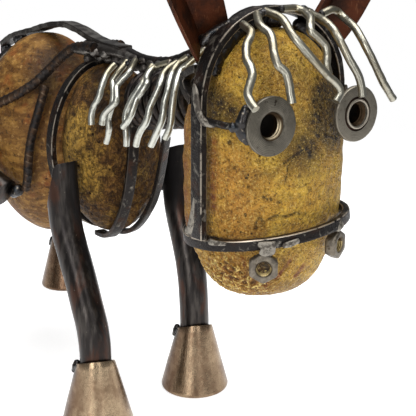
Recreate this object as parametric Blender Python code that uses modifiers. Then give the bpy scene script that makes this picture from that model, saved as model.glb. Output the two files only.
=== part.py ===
"""Recycled donkey: a tabletop sculpture of river stones bound in welded steel.

Three stones (head, chest and rump) sit in flat straps that are welded into a skeleton.  Four legs
bent from round bar end in flared steel hoofs.  Flange nuts are the eyes, hexagon nuts the nostrils,
folded sheet the ears, a coil spring the neck, and crimped wire the forelock, mane and tail.

The donkey faces -Y and stands on z = 0, and +X is its own left.  Figures are in millimetres and
become metres through MM.  Stations along Y count from the line between the front hoofs; ORIGIN_Y is
the station halfway along the sculpture, which is where the part's own origin lies.
"""
import math

import bmesh
import bpy
from mathutils import Matrix, Vector

for leftover in list(bpy.data.objects):
    bpy.data.objects.remove(leftover, do_unlink=True)

# ------------------------------------------------------------------ driving dimensions, millimetres
MM = 0.001
ORIGIN_Y = 39.2
RIGHT, LEFT = -1, 1
SIDES = (("right", RIGHT), ("left", LEFT))

# Stones: centre, half-sizes, and how blunt the top and the bottom are (2 is an ellipsoid).
HEAD_CENTRE, HEAD_HALF, HEAD_BLUNT = (0.5, -88.8, 149.0), (33.4, 28.6, 55.4), (2.7, 3.05)
CHEST_CENTRE, CHEST_HALF, CHEST_BLUNT = (0.0, 29.5, 135.5), (27.0, 22.5, 44.5), (2.05, 2.05)
RUMP_CENTRE, RUMP_HALF, RUMP_BLUNT = (0.0, 98.0, 133.3), (37.3, 41.0, 58.2), (2.0, 2.0)

STRAP_THICK = 3.0
HOOP_WIDTH = 6.0
SPINE_WIDTH = 8.0

# Crown strap: an arch in the plane across the head, over the poll and down both cheeks.
CROWN_X, CROWN_Y, CROWN_SPRING_Z = 0.4, -93.0, 175.0
CROWN_HALF, CROWN_RISE, CROWN_BLUNT = 37.4, 36.5, 2.15
CROWN_WIDTH, CROWN_THICK = 6.6, 3.0
CHEEK_FOOT_Z = {RIGHT: 124.5, LEFT: 129.7}

# Nose band: an oval ring around the muzzle, rising towards the front and the donkey's left.
NOSE_CENTRE, NOSE_HALF = (1.3, -89.9, 123.8), (35.4, 31.4)
NOSE_RISE_LEFT, NOSE_RISE_FRONT = 0.072, 0.108
NOSE_HEIGHT, NOSE_THICK = 4.4, 2.9

# Eyes (M10 flange nuts) and nostrils (small hexagon nuts): face centre and turn of the axis.
EYE_FLANGE, EYE_FLANGE_THICK = 22.2, 2.2
EYE_HEX, EYE_HEX_LENGTH = 15.0, 3.0
EYE_BORE = 9.4
EYES = {
    RIGHT: ((-23.8, -119.9, 171.4), math.radians(-5)),
    LEFT: ((19.9, -121.2, 171.7), math.radians(-3)),
}
NOSTRIL_HEX, NOSTRIL_LENGTH, NOSTRIL_BORE = 11.0, 4.5, 6.4
NOSTRILS = {
    RIGHT: ((-24.1, -117.0, 115.8), math.radians(-38)),
    LEFT: ((13.9, -120.6, 118.9), math.radians(18)),
}

# Legs and hoofs.
LEG_BAR = 16.0
LEG_FOOT_Z = 29.4
HOOF_HEIGHT, HOOF_TOP, HOOF_BASE, HOOF_RIM = 35.0, 19.8, 37.4, 1.6
SOCKET_WIDTH, SOCKET_FLOOR_Z = 17.8, 29.0
FRONT_HOOF_X, FRONT_HOOF_Y = 33.0, {RIGHT: -1.5, LEFT: 3.0}
HIND_HOOF_X, HIND_HOOF_Y = 54.0, 188.0

REBAR = 5.4
STALK = 3.0
CREST_BAR = 4.6
TAIL_BAR = 5.0
WIRE = 3.5

# Neck: a coil spring from the chest up to the poll.
COIL_WIRE, COIL_RADIUS, COIL_TURNS = 4.4, 12.2, 5
COIL_START, COIL_END = (0.0, -3.0, 164.5), (0.0, -52.0, 172.5)

# Ears: folded leaves of sheet.
EAR_LENGTH, EAR_HALF_WIDTH, EAR_SHEET = 68.0, 14.5, 1.5
EAR_FOLD = math.radians(36)
EAR_FOOT = {RIGHT: (-26.2, -80.5, 200.5), LEFT: (33.5, -81.5, 200.5)}
EAR_AXIS = {RIGHT: (-0.52, -0.10, 0.85), LEFT: (0.56, -0.12, 0.81)}

# The wires lie on an imagined drape: it leaves the poll or crest level and ends hanging straight down.
BROW_Y, BROW_TIP_Z, BROW_HALF = -98.8, 177.0, 20.0
CREST_Z, CREST_TURN_Y, CREST_CLIMB = 184.4, -12.0, 0.0042
MANE_TIP_Z, MANE_REACH, MANE_ROOT = 153.0, 24.0, 4.6

# Forelock: how far the drape stands forward, then the bends as (x, z) from the poll to the tip.
FORELOCK = (
    (26.0, ((-20.5, 206.5), (-22.3, 204), (-26.5, 200), (-29.5, 195.5), (-31, 191),
            (-35, 184), (-35.5, 179.5))),
    (26.0, ((-13.5, 210), (-18, 206.5), (-18.2, 203.5), (-20.5, 199), (-22, 194), (-19.5, 190), (-19, 180))),
    (26.0, ((-9.5, 211), (-9, 208.5), (-10.5, 204), (-9, 199.5), (-4.5, 193), (1, 187.5),
            (6, 183), (3.5, 178.5))),
    (21.5, ((-1, 211.5), (8, 211.2), (5.5, 208), (1.5, 204.5), (4, 201), (6.5, 197), (4.5, 192.5), (5, 188))),
    (28.0, ((10.3, 211.2), (12.7, 210), (10.7, 206), (10.5, 200), (11.5, 194), (15, 186.5), (16, 179.5))),
    (22.0, ((21, 209), (27.5, 210.5), (32, 208), (29.5, 203.5), (29, 198), (30.5, 192),
            (35, 182.5), (41, 175.5))),
)
# Mane on the right: reach of the drape, then the bends as (y, z) from the crest to the tip.
MANE_RIGHT = (
    (25.5, ((8, 181.5), (7, 178), (4.5, 172), (3.5, 167), (6, 163), (7, 158.5), (6.5, 154))),
    (19.5, ((4.5, 183), (3, 179), (4.2, 174.5), (0, 169.5), (-1, 163.5), (1, 157.5),
            (0.5, 151.5), (3.5, 145))),
    (24.0, ((-1, 184), (-8, 180), (-7, 176.5), (-6, 172.5), (-10, 168), (-7, 164), (-2, 160), (-0.5, 155))),
    (24.0, ((-29.5, 185.5), (-23, 183), (-24, 179.5), (-29, 175.5), (-26, 171.5), (-24, 162), (-19, 156.5))),
    (19.5, ((-17.5, 183), (-20, 175), (-17.5, 170.5), (-15.5, 166), (-13.5, 160),
            (-15, 151.5), (-14.5, 146.5))),
    (24.0, ((-36, 186), (-35.5, 182.5), (-39.5, 177), (-38, 168), (-37.5, 162),
            (-32.5, 156), (-29.5, 149.5))),
    (24.0, ((-43, 189), (-40.5, 185.5), (-44.5, 181), (-47.5, 176), (-48, 170), (-49, 164), (-41.5, 151.5))),
    (24.0, ((-55, 193), (-52.5, 188.5), (-49.5, 184.5), (-52, 179), (-54, 173),
            (-55.5, 163), (-52.5, 156.5))),
)
MANE_LEFT_Y = (7.0, -9.0, -23.0, -37.0, -51.0)
MANE_SEGMENTS, FORELOCK_SEGMENTS = 11, 12

PARTS = bpy.data.collections.new("recycled_donkey")
CUTTERS = bpy.data.collections.new("cutters")
bpy.context.scene.collection.children.link(PARTS)
bpy.context.scene.collection.children.link(CUTTERS)


# ------------------------------------------------------------------------------------------ materials
def material(name, colour, roughness, metallic):
    """A plain Principled BSDF, made once and shared by the pieces of the same stuff."""
    made = bpy.data.materials.new(name)
    made.use_nodes = True
    made.diffuse_color = (*colour, 1)
    shader = made.node_tree.nodes["Principled BSDF"]
    shader.inputs["Base Color"].default_value = (*colour, 1)
    shader.inputs["Roughness"].default_value = roughness
    shader.inputs["Metallic"].default_value = metallic
    return made


GOLD_STONE = material("gold_stone", (0.47, 0.26, 0.05), 0.62, 0.1)
SPECKLED_STONE = material("speckled_stone", (0.30, 0.16, 0.03), 0.6, 0.1)
BROWN_STONE = material("brown_stone", (0.26, 0.12, 0.03), 0.6, 0.1)
BLACK_STEEL = material("black_steel", (0.045, 0.04, 0.04), 0.45, 0.9)
LEG_STEEL = material("leg_steel", (0.06, 0.05, 0.047), 0.42, 0.9)
HOOF_STEEL = material("hoof_steel", (0.30, 0.23, 0.18), 0.4, 0.95)
REBAR_STEEL = material("rebar_steel", (0.09, 0.07, 0.055), 0.6, 0.8)
SPRING_STEEL = material("spring_steel", (0.04, 0.035, 0.035), 0.4, 0.9)
NUT_STEEL = material("nut_steel", (0.22, 0.20, 0.19), 0.4, 0.95)
ZINC_NUT = material("zinc_nut", (0.36, 0.34, 0.31), 0.4, 0.95)
ZINC_WIRE = material("zinc_wire", (0.62, 0.61, 0.56), 0.28, 1.0)
RUSTED_SHEET = material("rusted_sheet", (0.13, 0.045, 0.025), 0.5, 0.6)


# --------------------------------------------------------------------------------------- construction
def at(x, y, z):
    """A place in millimetres from the front hoof line, as a point in metres from the origin."""
    return Vector((x, y - ORIGIN_Y, z)) * MM


def add(name, data, finish):
    """Put a sub-part with its material into the sculpture."""
    piece = bpy.data.objects.new(name, data)
    data.materials.append(finish)
    PARTS.objects.link(piece)
    return piece


def round_off(mesh, angle=40):
    mesh.shade_smooth()
    mesh.set_sharp_from_angle(angle=math.radians(angle))


def signed_power(value, power):
    return math.copysign(abs(value) ** power, value)


def smooth(points, segments):
    """A smooth line through the points (Catmull-Rom), cut into segments of equal length."""
    knots = [Vector(p) for p in points]
    knots = [2 * knots[0] - knots[1], *knots, 2 * knots[-1] - knots[-2]]
    fine = []
    for a, b, c, d in zip(knots, knots[1:], knots[2:], knots[3:]):
        for step in range(16):
            t = step / 16
            fine.append(0.5 * (2 * b + (c - a) * t + (2 * a - 5 * b + 4 * c - d) * t**2
                               + (3 * b - 3 * c + d - a) * t**3))
    fine.append(knots[-2])
    lengths = [0.0]
    for before, after in zip(fine, fine[1:]):
        lengths.append(lengths[-1] + (after - before).length)
    line, k = [], 0
    for step in range(segments + 1):
        goal = lengths[-1] * step / segments
        while k < len(fine) - 2 and lengths[k + 1] < goal:
            k += 1
        share = (goal - lengths[k]) / max(lengths[k + 1] - lengths[k], 1e-9)
        line.append(fine[k].lerp(fine[k + 1], min(share, 1.0)))
    return line


def round_bar(name, points, diameter, finish, sides=6):
    """A round bar or wire along the points; sides is 4, 6, 8 ... around its section."""
    curve = bpy.data.curves.new(name, "CURVE")
    curve.dimensions = "3D"
    curve.bevel_depth = diameter / 2 * MM
    curve.bevel_resolution = (sides - 4) // 2
    curve.use_fill_caps = True
    spline = curve.splines.new("POLY")
    spline.points.add(len(points) - 1)
    for knot, point in zip(spline.points, points):
        knot.co = (*at(*point), 1.0)
    spline.use_smooth = True
    return add(name, curve, finish)


def strap(name, points, across, width, thickness, finish, closed=False):
    """Flat bar bent the easy way along the points, its width lying along the vector across."""
    shape = bmesh.new()
    side = Vector(across).normalized() * width * MM
    knots = [shape.verts.new(at(*point) - side / 2) for point in points]
    edges = [shape.edges.new(pair) for pair in zip(knots, knots[1:])]
    if closed:
        edges.append(shape.edges.new((knots[-1], knots[0])))
    swept = bmesh.ops.extrude_edge_only(shape, edges=edges)["geom"]
    bmesh.ops.translate(shape, verts=[v for v in swept if isinstance(v, bmesh.types.BMVert)], vec=side)
    mesh = bpy.data.meshes.new(name)
    shape.to_mesh(mesh)
    shape.free()
    piece = add(name, mesh, finish)
    solid = piece.modifiers.new("thickness", "SOLIDIFY")
    solid.thickness = thickness * MM
    solid.offset = 0.0
    solid.use_even_offset = True
    return piece


def stone(name, centre, half, blunt, finish, around=24, rings=12):
    """A river stone: a ball drawn out to its half-sizes, its top and bottom made blunter or rounder."""
    shape = bmesh.new()
    bmesh.ops.create_uvsphere(shape, u_segments=around, v_segments=rings, radius=1.0)
    for vert in shape.verts:
        power = 2 / (blunt[0] if vert.co.z > 0 else blunt[1])
        level = math.hypot(vert.co.x, vert.co.y)
        swell = level ** (power - 1) if level > 1e-6 else 0.0
        vert.co = Vector((vert.co.x * swell * half[0], vert.co.y * swell * half[1],
                          signed_power(vert.co.z, power) * half[2])) * MM
    mesh = bpy.data.meshes.new(name)
    shape.to_mesh(mesh)
    shape.free()
    round_off(mesh, 80)
    piece = add(name, mesh, finish)
    piece.location = at(*centre)
    return piece


def cylinder_mesh(name, diameter, length, sides, front=0.0):
    """A cylinder or prism whose front face is at z = front and whose body runs towards -z."""
    shape = bmesh.new()
    bmesh.ops.create_cone(shape, cap_ends=True, segments=sides, radius1=diameter / 2 * MM,
                          radius2=diameter / 2 * MM, depth=length * MM,
                          matrix=Matrix.Translation((0, 0, (front - length / 2) * MM)))
    mesh = bpy.data.meshes.new(name)
    shape.to_mesh(mesh)
    shape.free()
    return mesh


def combine(piece, operation, mesh):
    """Join or cut a piece by another shape that has the same place and turn."""
    tool = bpy.data.objects.new(mesh.name, mesh)
    CUTTERS.objects.link(tool)
    tool.matrix_world = piece.matrix_world
    tool.hide_render = True
    tool.display_type = "WIRE"
    change = piece.modifiers.new(mesh.name, "BOOLEAN")
    change.operation = operation
    change.object = tool


def across_corners(flats):
    return flats / math.cos(math.pi / 6)


def facing(place, turn):
    """A frame at place whose z axis looks forward (-Y), turned about the vertical."""
    upright = Matrix.Rotation(math.pi / 2, 4, "X")
    return Matrix.Translation(at(*place)) @ Matrix.Rotation(turn, 4, "Z") @ upright


def hoop_points(centre, half_width, half_height, blunt, count):
    """A closed rounded hoop in the plane across the body, as points from the right side upwards."""
    points = []
    for step in range(count):
        turn = 2 * math.pi * step / count
        points.append((centre[0] - half_width * signed_power(math.cos(turn), 2 / blunt), centre[1],
                       centre[2] + half_height * signed_power(math.sin(turn), 2 / blunt)))
    return points


# ---------------------------------------------------------------------------------------- body pieces
def make_stones():
    stone("head_stone", HEAD_CENTRE, HEAD_HALF, HEAD_BLUNT, GOLD_STONE, around=26)
    stone("chest_stone", CHEST_CENTRE, CHEST_HALF, CHEST_BLUNT, SPECKLED_STONE)
    stone("rump_stone", RUMP_CENTRE, RUMP_HALF, RUMP_BLUNT, BROWN_STONE)


def make_body_straps():
    spine = ((0, 151, 181), (0, 136, 187), (0, 122, 189.6), (0, 109, 191.7), (0, 92, 195.3), (0, 77, 196.9),
             (0, 66, 196.6), (0, 52, 193.6), (0, 40, 190.2), (0, 30, 189), (0, 14.5, 187.9))
    strap("spine_bar", smooth(spine, 15), (1, 0, 0), SPINE_WIDTH, STRAP_THICK, BLACK_STEEL)
    strap("girth_hoop", hoop_points((0, 42, 135.5), 29.5, 44.2, 1.85, 24), (0, 1, 0), HOOP_WIDTH,
          STRAP_THICK, BLACK_STEEL, closed=True)
    strap("rump_hoop", hoop_points((0, 133, 134.5), 25, 46, 2.0, 22), (0, 1, 0), HOOP_WIDTH,
          STRAP_THICK, BLACK_STEEL, closed=True)
    near = ((-1.8, 3.6, 156), (-4, 3.3, 143), (-5.2, 3.4, 131), (-6.3, 6, 116), (-6.8, 11, 104),
            (-6.3, 19, 93.5), (-5.5, 28, 88.6), (-5, 38, 88.6))
    strap("breast_strap_right", smooth(near, 10), (1, -0.25, 0), 5.6, 2.6, BLACK_STEEL)
    far = ((5.2, -12, 147.5), (6.8, -8, 140), (8.4, -2, 127), (9.2, 4, 114), (8.8, 10, 104.5),
           (7.4, 19, 93.5), (6, 28, 88.6), (4.8, 38, 88.6))
    strap("breast_strap_left", smooth(far, 10), (1, 0.25, 0), 4.6, 2.6, BLACK_STEEL)


def crown_height(x):
    """Height of the crown strap's centre line above the point x."""
    share = min(abs(x - CROWN_X) / CROWN_HALF, 1.0)
    return CROWN_SPRING_Z + CROWN_RISE * (1 - share ** CROWN_BLUNT) ** (1 / CROWN_BLUNT)


def crown_points(arc_steps=16):
    """The crown strap's line from the foot of the right cheek over the poll to the left foot."""
    points = [(CROWN_X - CROWN_HALF, CROWN_Y, CHEEK_FOOT_Z[RIGHT])]
    for step in range(arc_steps + 1):
        turn = math.pi * step / arc_steps
        x = CROWN_X - CROWN_HALF * signed_power(math.cos(turn), 2 / CROWN_BLUNT)
        points.append((x, CROWN_Y, crown_height(x)))
    points.append((CROWN_X + CROWN_HALF, CROWN_Y, CHEEK_FOOT_Z[LEFT]))
    return points


def nose_point(turn):
    """A point on the nose band's centre line, turn counting from the front towards the left."""
    x = NOSE_HALF[0] * math.sin(turn)
    y = -NOSE_HALF[1] * math.cos(turn)
    return (NOSE_CENTRE[0] + x, NOSE_CENTRE[1] + y, NOSE_CENTRE[2] + NOSE_RISE_LEFT * x - NOSE_RISE_FRONT * y)


def make_head_straps():
    strap("crown_strap", crown_points(), (0, 1, 0), CROWN_WIDTH, CROWN_THICK, BLACK_STEEL)
    ring = [nose_point(2 * math.pi * step / 28) for step in range(28)]
    strap("nose_band", ring, (-NOSE_RISE_LEFT, NOSE_RISE_FRONT, 1), NOSE_HEIGHT, NOSE_THICK,
          BLACK_STEEL, closed=True)
    for side_name, side in SIDES:
        bends = ((33.5, -87.7, 190), (30.5, -80, 188.5), (29.5, -73.5, 184.5), (33.5, -81, 180.5),
                 (36.2, -88.5, 178.5))
        hook = [(CROWN_X + side * out, y, z) for out, y, z in bends]
        strap(f"cheek_hook_{side_name}", smooth(hook, 7), (1, 0, 0), 4.0, 3.0, BLACK_STEEL)


# ---------------------------------------------------------------------------------------- neck pieces
def make_neck():
    start, end = Vector(COIL_START), Vector(COIL_END)
    along = (end - start).normalized()
    across = Vector((1, 0, 0))
    upward = across.cross(along)
    steps = COIL_TURNS * 10
    coil = []
    for step in range(steps + 1):
        turn = 2 * math.pi * COIL_TURNS * step / steps
        spoke = (across * math.cos(turn) + upward * math.sin(turn)) * COIL_RADIUS
        coil.append(start.lerp(end, step / steps) + spoke)
    round_bar("neck_coil", coil, COIL_WIRE, SPRING_STEEL)
    crest = ((0, 11.5, 186.6), (0, 0, 184.4), (0, -10, 184), (0, -20, 184.6), (0, -30, 186.5), (0, -40, 190),
             (0, -52, 195), (0, -62, 201), (0, -71, 206.5), (0, -80, 209.5), (0, -89.2, 209.8))
    round_bar("crest_bar", smooth(crest, 11), CREST_BAR, BLACK_STEEL)


def drape_share(z, top_z, tip_z):
    """How far out the drape is at height z: 0 at its top and 1 from its tip down."""
    rise = min(max((z - tip_z) / (top_z - tip_z), 0.0), 1.0)
    return math.sqrt(1 - rise * rise)


def forelock_line(reach, bends):
    line = []
    for x, z in bends:
        top_z = crown_height(min(x, BROW_HALF))
        line.append((x, BROW_Y - reach * drape_share(z, top_z, BROW_TIP_Z), z))
    return smooth(line, FORELOCK_SEGMENTS)


def crest_height(y):
    """Height of the mane's roots at station y."""
    return CREST_Z + CREST_CLIMB * min(y - CREST_TURN_Y, 0) ** 2


def mane_line(reach, bends, side):
    line = []
    for y, z in bends:
        out = reach * drape_share(z, crest_height(y), MANE_TIP_Z)
        line.append((side * max(out, MANE_ROOT), y, z))
    return smooth(line, MANE_SEGMENTS)


def left_mane_bends(root_y):
    """A crimped wire on the side away from the forelock's parting, waving as it falls."""
    bends = []
    for step in range(7):
        wave = 3.2 * math.sin(2.1 * step + root_y)
        bends.append((root_y + 0.8 * step + (wave if step else 0), crest_height(root_y) - 5.2 * step))
    return bends


def make_mane():
    for number, (reach, bends) in enumerate(FORELOCK, 1):
        round_bar(f"forelock_wire_{number}", forelock_line(reach, bends), WIRE, ZINC_WIRE)
    for number, (reach, bends) in enumerate(MANE_RIGHT, 1):
        round_bar(f"mane_wire_right_{number}", mane_line(reach, bends, RIGHT), WIRE, ZINC_WIRE)
    for number, root_y in enumerate(MANE_LEFT_Y, 1):
        line = mane_line(MANE_REACH, left_mane_bends(root_y), LEFT)
        round_bar(f"mane_wire_left_{number}", line, WIRE, ZINC_WIRE)


# ---------------------------------------------------------------------------------------- face pieces
def make_eyes():
    for side_name, side in SIDES:
        place, turn = EYES[side]
        flange = cylinder_mesh("flange", EYE_FLANGE, EYE_FLANGE_THICK, 24)
        eye = add(f"eye_nut_{side_name}", flange, NUT_STEEL)
        eye.matrix_world = facing(place, turn)
        lap = EYE_FLANGE_THICK / 2
        body = cylinder_mesh("hexagon", across_corners(EYE_HEX), lap + EYE_HEX_LENGTH, 6, front=-lap)
        combine(eye, "UNION", body)
        combine(eye, "DIFFERENCE", cylinder_mesh("bore", EYE_BORE, 12, 16, front=3))
        stalk = ((CROWN_X + side * (CROWN_HALF - 0.3), CROWN_Y - 3.9, place[2] + 0.5),
                 (CROWN_X + side * (CROWN_HALF - 1.2), CROWN_Y - 12, place[2]),
                 (place[0] + side * 9.4, place[1] + 6.3, place[2] - 0.5))
        round_bar(f"eye_stalk_{side_name}", smooth(stalk, 4), STALK, BLACK_STEEL)


def make_nostrils():
    for side_name, side in SIDES:
        place, turn = NOSTRILS[side]
        hexagon = cylinder_mesh("hexagon", across_corners(NOSTRIL_HEX), NOSTRIL_LENGTH, 6)
        nut = add(f"nostril_nut_{side_name}", hexagon, ZINC_NUT)
        nut.matrix_world = facing(place, turn)
        combine(nut, "DIFFERENCE", cylinder_mesh("bore", NOSTRIL_BORE, 20, 14, front=6))


def make_ears():
    for side_name, side in SIDES:
        shape = bmesh.new()
        bmesh.ops.create_grid(shape, x_segments=2, y_segments=7, size=1.0)
        for vert in shape.verts:
            share = (vert.co.y + 1) / 2
            leaf = math.sin(math.pi * (0.30 + 0.70 * share)) ** 0.75
            out = vert.co.x * EAR_HALF_WIDTH * max(leaf, 0.07)
            lift = share * EAR_LENGTH - 0.2 * side * out * (1 - share)
            vert.co = Vector((out * math.cos(EAR_FOLD), -abs(out) * math.sin(EAR_FOLD), lift)) * MM
        mesh = bpy.data.meshes.new(f"ear_{side_name}")
        shape.to_mesh(mesh)
        shape.free()
        ear = add(f"ear_{side_name}", mesh, RUSTED_SHEET)
        along = Vector(EAR_AXIS[side]).normalized()
        across = Vector((0, 1, 0)).cross(along).normalized()
        turned = Matrix((across, along.cross(across), along)).transposed().to_4x4()
        ear.matrix_world = Matrix.Translation(at(*EAR_FOOT[side])) @ turned
        sheet = ear.modifiers.new("sheet", "SOLIDIFY")
        sheet.thickness = EAR_SHEET * MM
        sheet.offset = 0.0


# ---------------------------------------------------------------------------------- legs and harness
def hoof(name, x, y):
    """A turned hoof with a flat sole, a flared wall and a socket for the leg."""
    profile = ((0, SOCKET_FLOOR_Z), (SOCKET_WIDTH / 2, SOCKET_FLOOR_Z), (SOCKET_WIDTH / 2, HOOF_HEIGHT),
               (HOOF_TOP / 2, HOOF_HEIGHT), (HOOF_BASE / 2, HOOF_RIM), (HOOF_BASE / 2 - HOOF_RIM, 0), (0, 0))
    shape = bmesh.new()
    knots = [shape.verts.new((radius * MM, 0, z * MM)) for radius, z in profile]
    for pair in zip(knots, knots[1:]):
        shape.edges.new(pair)
    mesh = bpy.data.meshes.new(name)
    shape.to_mesh(mesh)
    shape.free()
    piece = add(name, mesh, HOOF_STEEL)
    piece.location = at(x, y, 0)
    turn = piece.modifiers.new("turned", "SCREW")
    turn.steps = turn.render_steps = 16
    turn.use_merge_vertices = True
    turn.merge_threshold = 0.00005


def make_legs():
    for side_name, side in SIDES:
        front_y = FRONT_HOOF_Y[side]
        x = side * FRONT_HOOF_X
        front = ((side * 35.2, 21, 136), (side * 35, 21.2, 118), (side * 34.6, 18, 98), (side * 34, 11.5, 83),
                 (side * 33.6, 5.5 + front_y / 4, 67), (x, front_y + 0.4, 49), (x, front_y, 40),
                 (x, front_y, LEG_FOOT_Z))
        round_bar(f"front_leg_{side_name}", smooth(front, 9), LEG_BAR, LEG_STEEL, sides=10)
        hoof(f"front_hoof_{side_name}", x, front_y)
        x, y = side * HIND_HOOF_X, HIND_HOOF_Y
        hind = ((side * 39.6, 78, 107.5), (side * 43.5, 85, 112), (side * 48, 99, 118),
                (side * 48.5, 122, 121), (side * 51, 148, 112), (side * 53.7, 170, 88),
                (side * 54.1, 183, 62), (x, y, 46), (x, y, 38), (x, y, LEG_FOOT_Z))
        round_bar(f"hind_leg_{side_name}", smooth(hind, 12), LEG_BAR, LEG_STEEL, sides=10)
        hoof(f"hind_hoof_{side_name}", x, y)


def make_harness():
    """Ribbed bar: a breeching strap round each haunch and a branch down to the thigh."""
    for side_name, side in SIDES:
        breeching = ((side * 8, 31, 188), (side * 8.3, 42, 187.4), (side * 9.4, 54, 184.8),
                     (side * 13.5, 64.5, 176.5), (side * 21.1, 68.7, 168.4), (side * 28.4, 73.6, 162.6),
                     (side * 36.4, 85, 156), (side * 39.7, 99, 152), (side * 35.7, 116, 147.5),
                     (side * 29.7, 127, 143.5))
        round_bar(f"breeching_{side_name}", smooth(breeching, 12), REBAR, REBAR_STEEL)
        branch = ((side * 20, 63, 166), (side * 23, 62.6, 158), (side * 28.3, 64.5, 141),
                  (side * 30.3, 66.3, 128), (side * 30.6, 68.5, 116), (side * 30.6, 71.5, 109.4))
        round_bar(f"flank_bar_{side_name}", smooth(branch, 7), REBAR * 0.9, REBAR_STEEL)


def make_tail():
    bar = ((0, 152, 175), (0, 157.5, 167), (0, 161.5, 156), (0, 163, 142))
    round_bar("tail_bar", smooth(bar, 6), TAIL_BAR, BLACK_STEEL)
    for number, lean in enumerate((-1, 0, 1), 1):
        strand = []
        for step in range(7):
            wave = 2.4 * math.sin(2.2 * step + 1.7 * number)
            strand.append((lean * (4.2 + 1.2 * step) + (wave if step > 1 else 0), 163 + 0.9 * step,
                           139 - 1.5 * abs(lean) - 8 * step))
        round_bar(f"tail_wire_{number}", smooth(strand, 9), WIRE, ZINC_WIRE)


make_stones()
make_body_straps()
make_head_straps()
make_neck()
make_mane()
make_eyes()
make_nostrils()
make_ears()
make_legs()
make_harness()
make_tail()
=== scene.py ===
"""Finishes the recycled donkey: river stones, worn straps, weld beads, threaded nuts, crimped wires.

Laid out as an add-on: every group of pieces has an operator, and the sizes and colours that someone
may want to change are properties of the scene.  Run as a script, it finishes the whole sculpture.
"""
import math

import bmesh
import bpy
import numpy
from bpy.props import FloatProperty, FloatVectorProperty, PointerProperty
from mathutils import Matrix, Vector


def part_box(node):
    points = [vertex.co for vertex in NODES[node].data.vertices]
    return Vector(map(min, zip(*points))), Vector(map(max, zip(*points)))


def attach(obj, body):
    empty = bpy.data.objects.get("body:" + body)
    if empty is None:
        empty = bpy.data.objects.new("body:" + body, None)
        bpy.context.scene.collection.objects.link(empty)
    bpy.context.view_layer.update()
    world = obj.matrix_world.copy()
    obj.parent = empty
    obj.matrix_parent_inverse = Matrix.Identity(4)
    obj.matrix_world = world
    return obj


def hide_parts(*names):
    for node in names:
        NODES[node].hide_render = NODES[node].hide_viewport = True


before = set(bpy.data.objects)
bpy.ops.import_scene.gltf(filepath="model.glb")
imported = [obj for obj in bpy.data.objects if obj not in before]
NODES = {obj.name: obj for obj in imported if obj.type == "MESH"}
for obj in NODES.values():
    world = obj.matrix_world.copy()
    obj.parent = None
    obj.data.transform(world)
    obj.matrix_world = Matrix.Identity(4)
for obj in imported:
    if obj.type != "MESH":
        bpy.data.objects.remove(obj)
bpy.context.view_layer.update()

bl_info = {
    "name": "Recycled Donkey",
    "version": (1, 0, 0),
    "blender": (4, 5, 0),
    "location": "View3D > Sidebar > Donkey",
    "description": "Finishes a welded donkey of river stones, straps, nuts and wire",
    "category": "Add Mesh",
}

MM = 0.001
MERGE = 0.001 * MM  # points closer than this are one point
RIGHT, LEFT = -1, 1
SIDES = {"right": RIGHT, "left": LEFT}
LIMBS = [(end, side_name, side) for side_name, side in SIDES.items() for end in ("front", "hind")]
FORELOCK, TAIL = range(1, 7), range(1, 4)
MANE = [f"right_{number}" for number in range(1, 9)] + [f"left_{number}" for number in range(1, 6)]
HOOF_LINE = 39.2  # how far the line between the front hoofs lies before the frame's origin
AXIS_RING = 0.05  # radius of the ring that stands for a point on a turned piece's axis
WELD_GRAIN = 0.36  # size of the faces of weld metal
BEAD_GAP = 7  # drops of weld nearer to each other than this are filled in between


# --------------------------------------------------------------------------------- settings
def colour(name, description, default):
    return FloatVectorProperty(name=name, description=description, default=default,
                               size=3, min=0.0, max=1.0, subtype="COLOR")


def length(name, description, default):
    return FloatProperty(name=name, description=description, default=default * MM,
                         min=0.0, soft_max=0.05, precision=5, unit="LENGTH", subtype="DISTANCE")


def power(name, description, default):
    return FloatProperty(name=name, description=description, default=default, min=0.0, unit="POWER")


def strength(name, description, default):
    return FloatProperty(name=name, description=description, default=default, min=0.0)


class DonkeyStones(bpy.types.PropertyGroup):
    ochre: colour("Ochre", "Main colour of the head stone", (0.53, 0.285, 0.031))
    gold: colour("Gold", "Bright patches of the head stone", (0.73, 0.455, 0.056))
    umber: colour("Umber", "Brown clouds in all three stones", (0.115, 0.050, 0.011))
    # Also laid as orange-brown painted shade behind and beside the crown strap.
    russet: colour("Russet", "Iron stains and streaks", (0.22, 0.058, 0.011))
    speckle: colour("Speckled", "Light ground of the chest stone", (0.36, 0.205, 0.036))
    tan: colour("Tan", "Light ground of the rump stone", (0.30, 0.155, 0.036))
    # Also laid as painted shade on the three stones.
    soot_and_shade: colour("Soot", "Pits, cracks and specks", (0.014, 0.007, 0.003))
    pit_depth: length("Pit depth", "Depth of the deepest pits", 0.9)
    swell: length("Swell", "Height of the stones' uneven swellings", 0.8)


class DonkeySteel(bpy.types.PropertyGroup):
    black: colour("Black steel", "Mill scale on the straps", (0.020, 0.017, 0.016))
    gunmetal: colour("Gunmetal", "Leg bars", (0.062, 0.054, 0.048))
    hoof: colour("Hoof", "Bare steel of the hoofs", (0.39, 0.29, 0.185))
    nut: colour("Nut", "Machined steel of the eyes", (0.135, 0.122, 0.098))
    zinc: colour("Zinc", "Wires and nostril nuts", (0.37, 0.355, 0.295))
    slag: colour("Weld", "Bare weld beads", (0.27, 0.245, 0.205))
    rust: colour("Rust", "Patina of the ears", (0.070, 0.018, 0.006))
    # On the top corners of the nose band this colour is laid as a painted highlight.
    edge: colour("Worn edge", "Steel rubbed bright along an edge", (0.60, 0.52, 0.42))
    edge_width: length("Edge width", "Width of the rounded edges of the straps", 0.45)
    wire: length("Wire", "Diameter of the forelock and tail wires", 3.2)
    hair: length("Mane wire", "Diameter of the mane wires", 3.05)
    rib: length("Rib", "Height of the ribs on the ribbed bar", 0.35)


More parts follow.
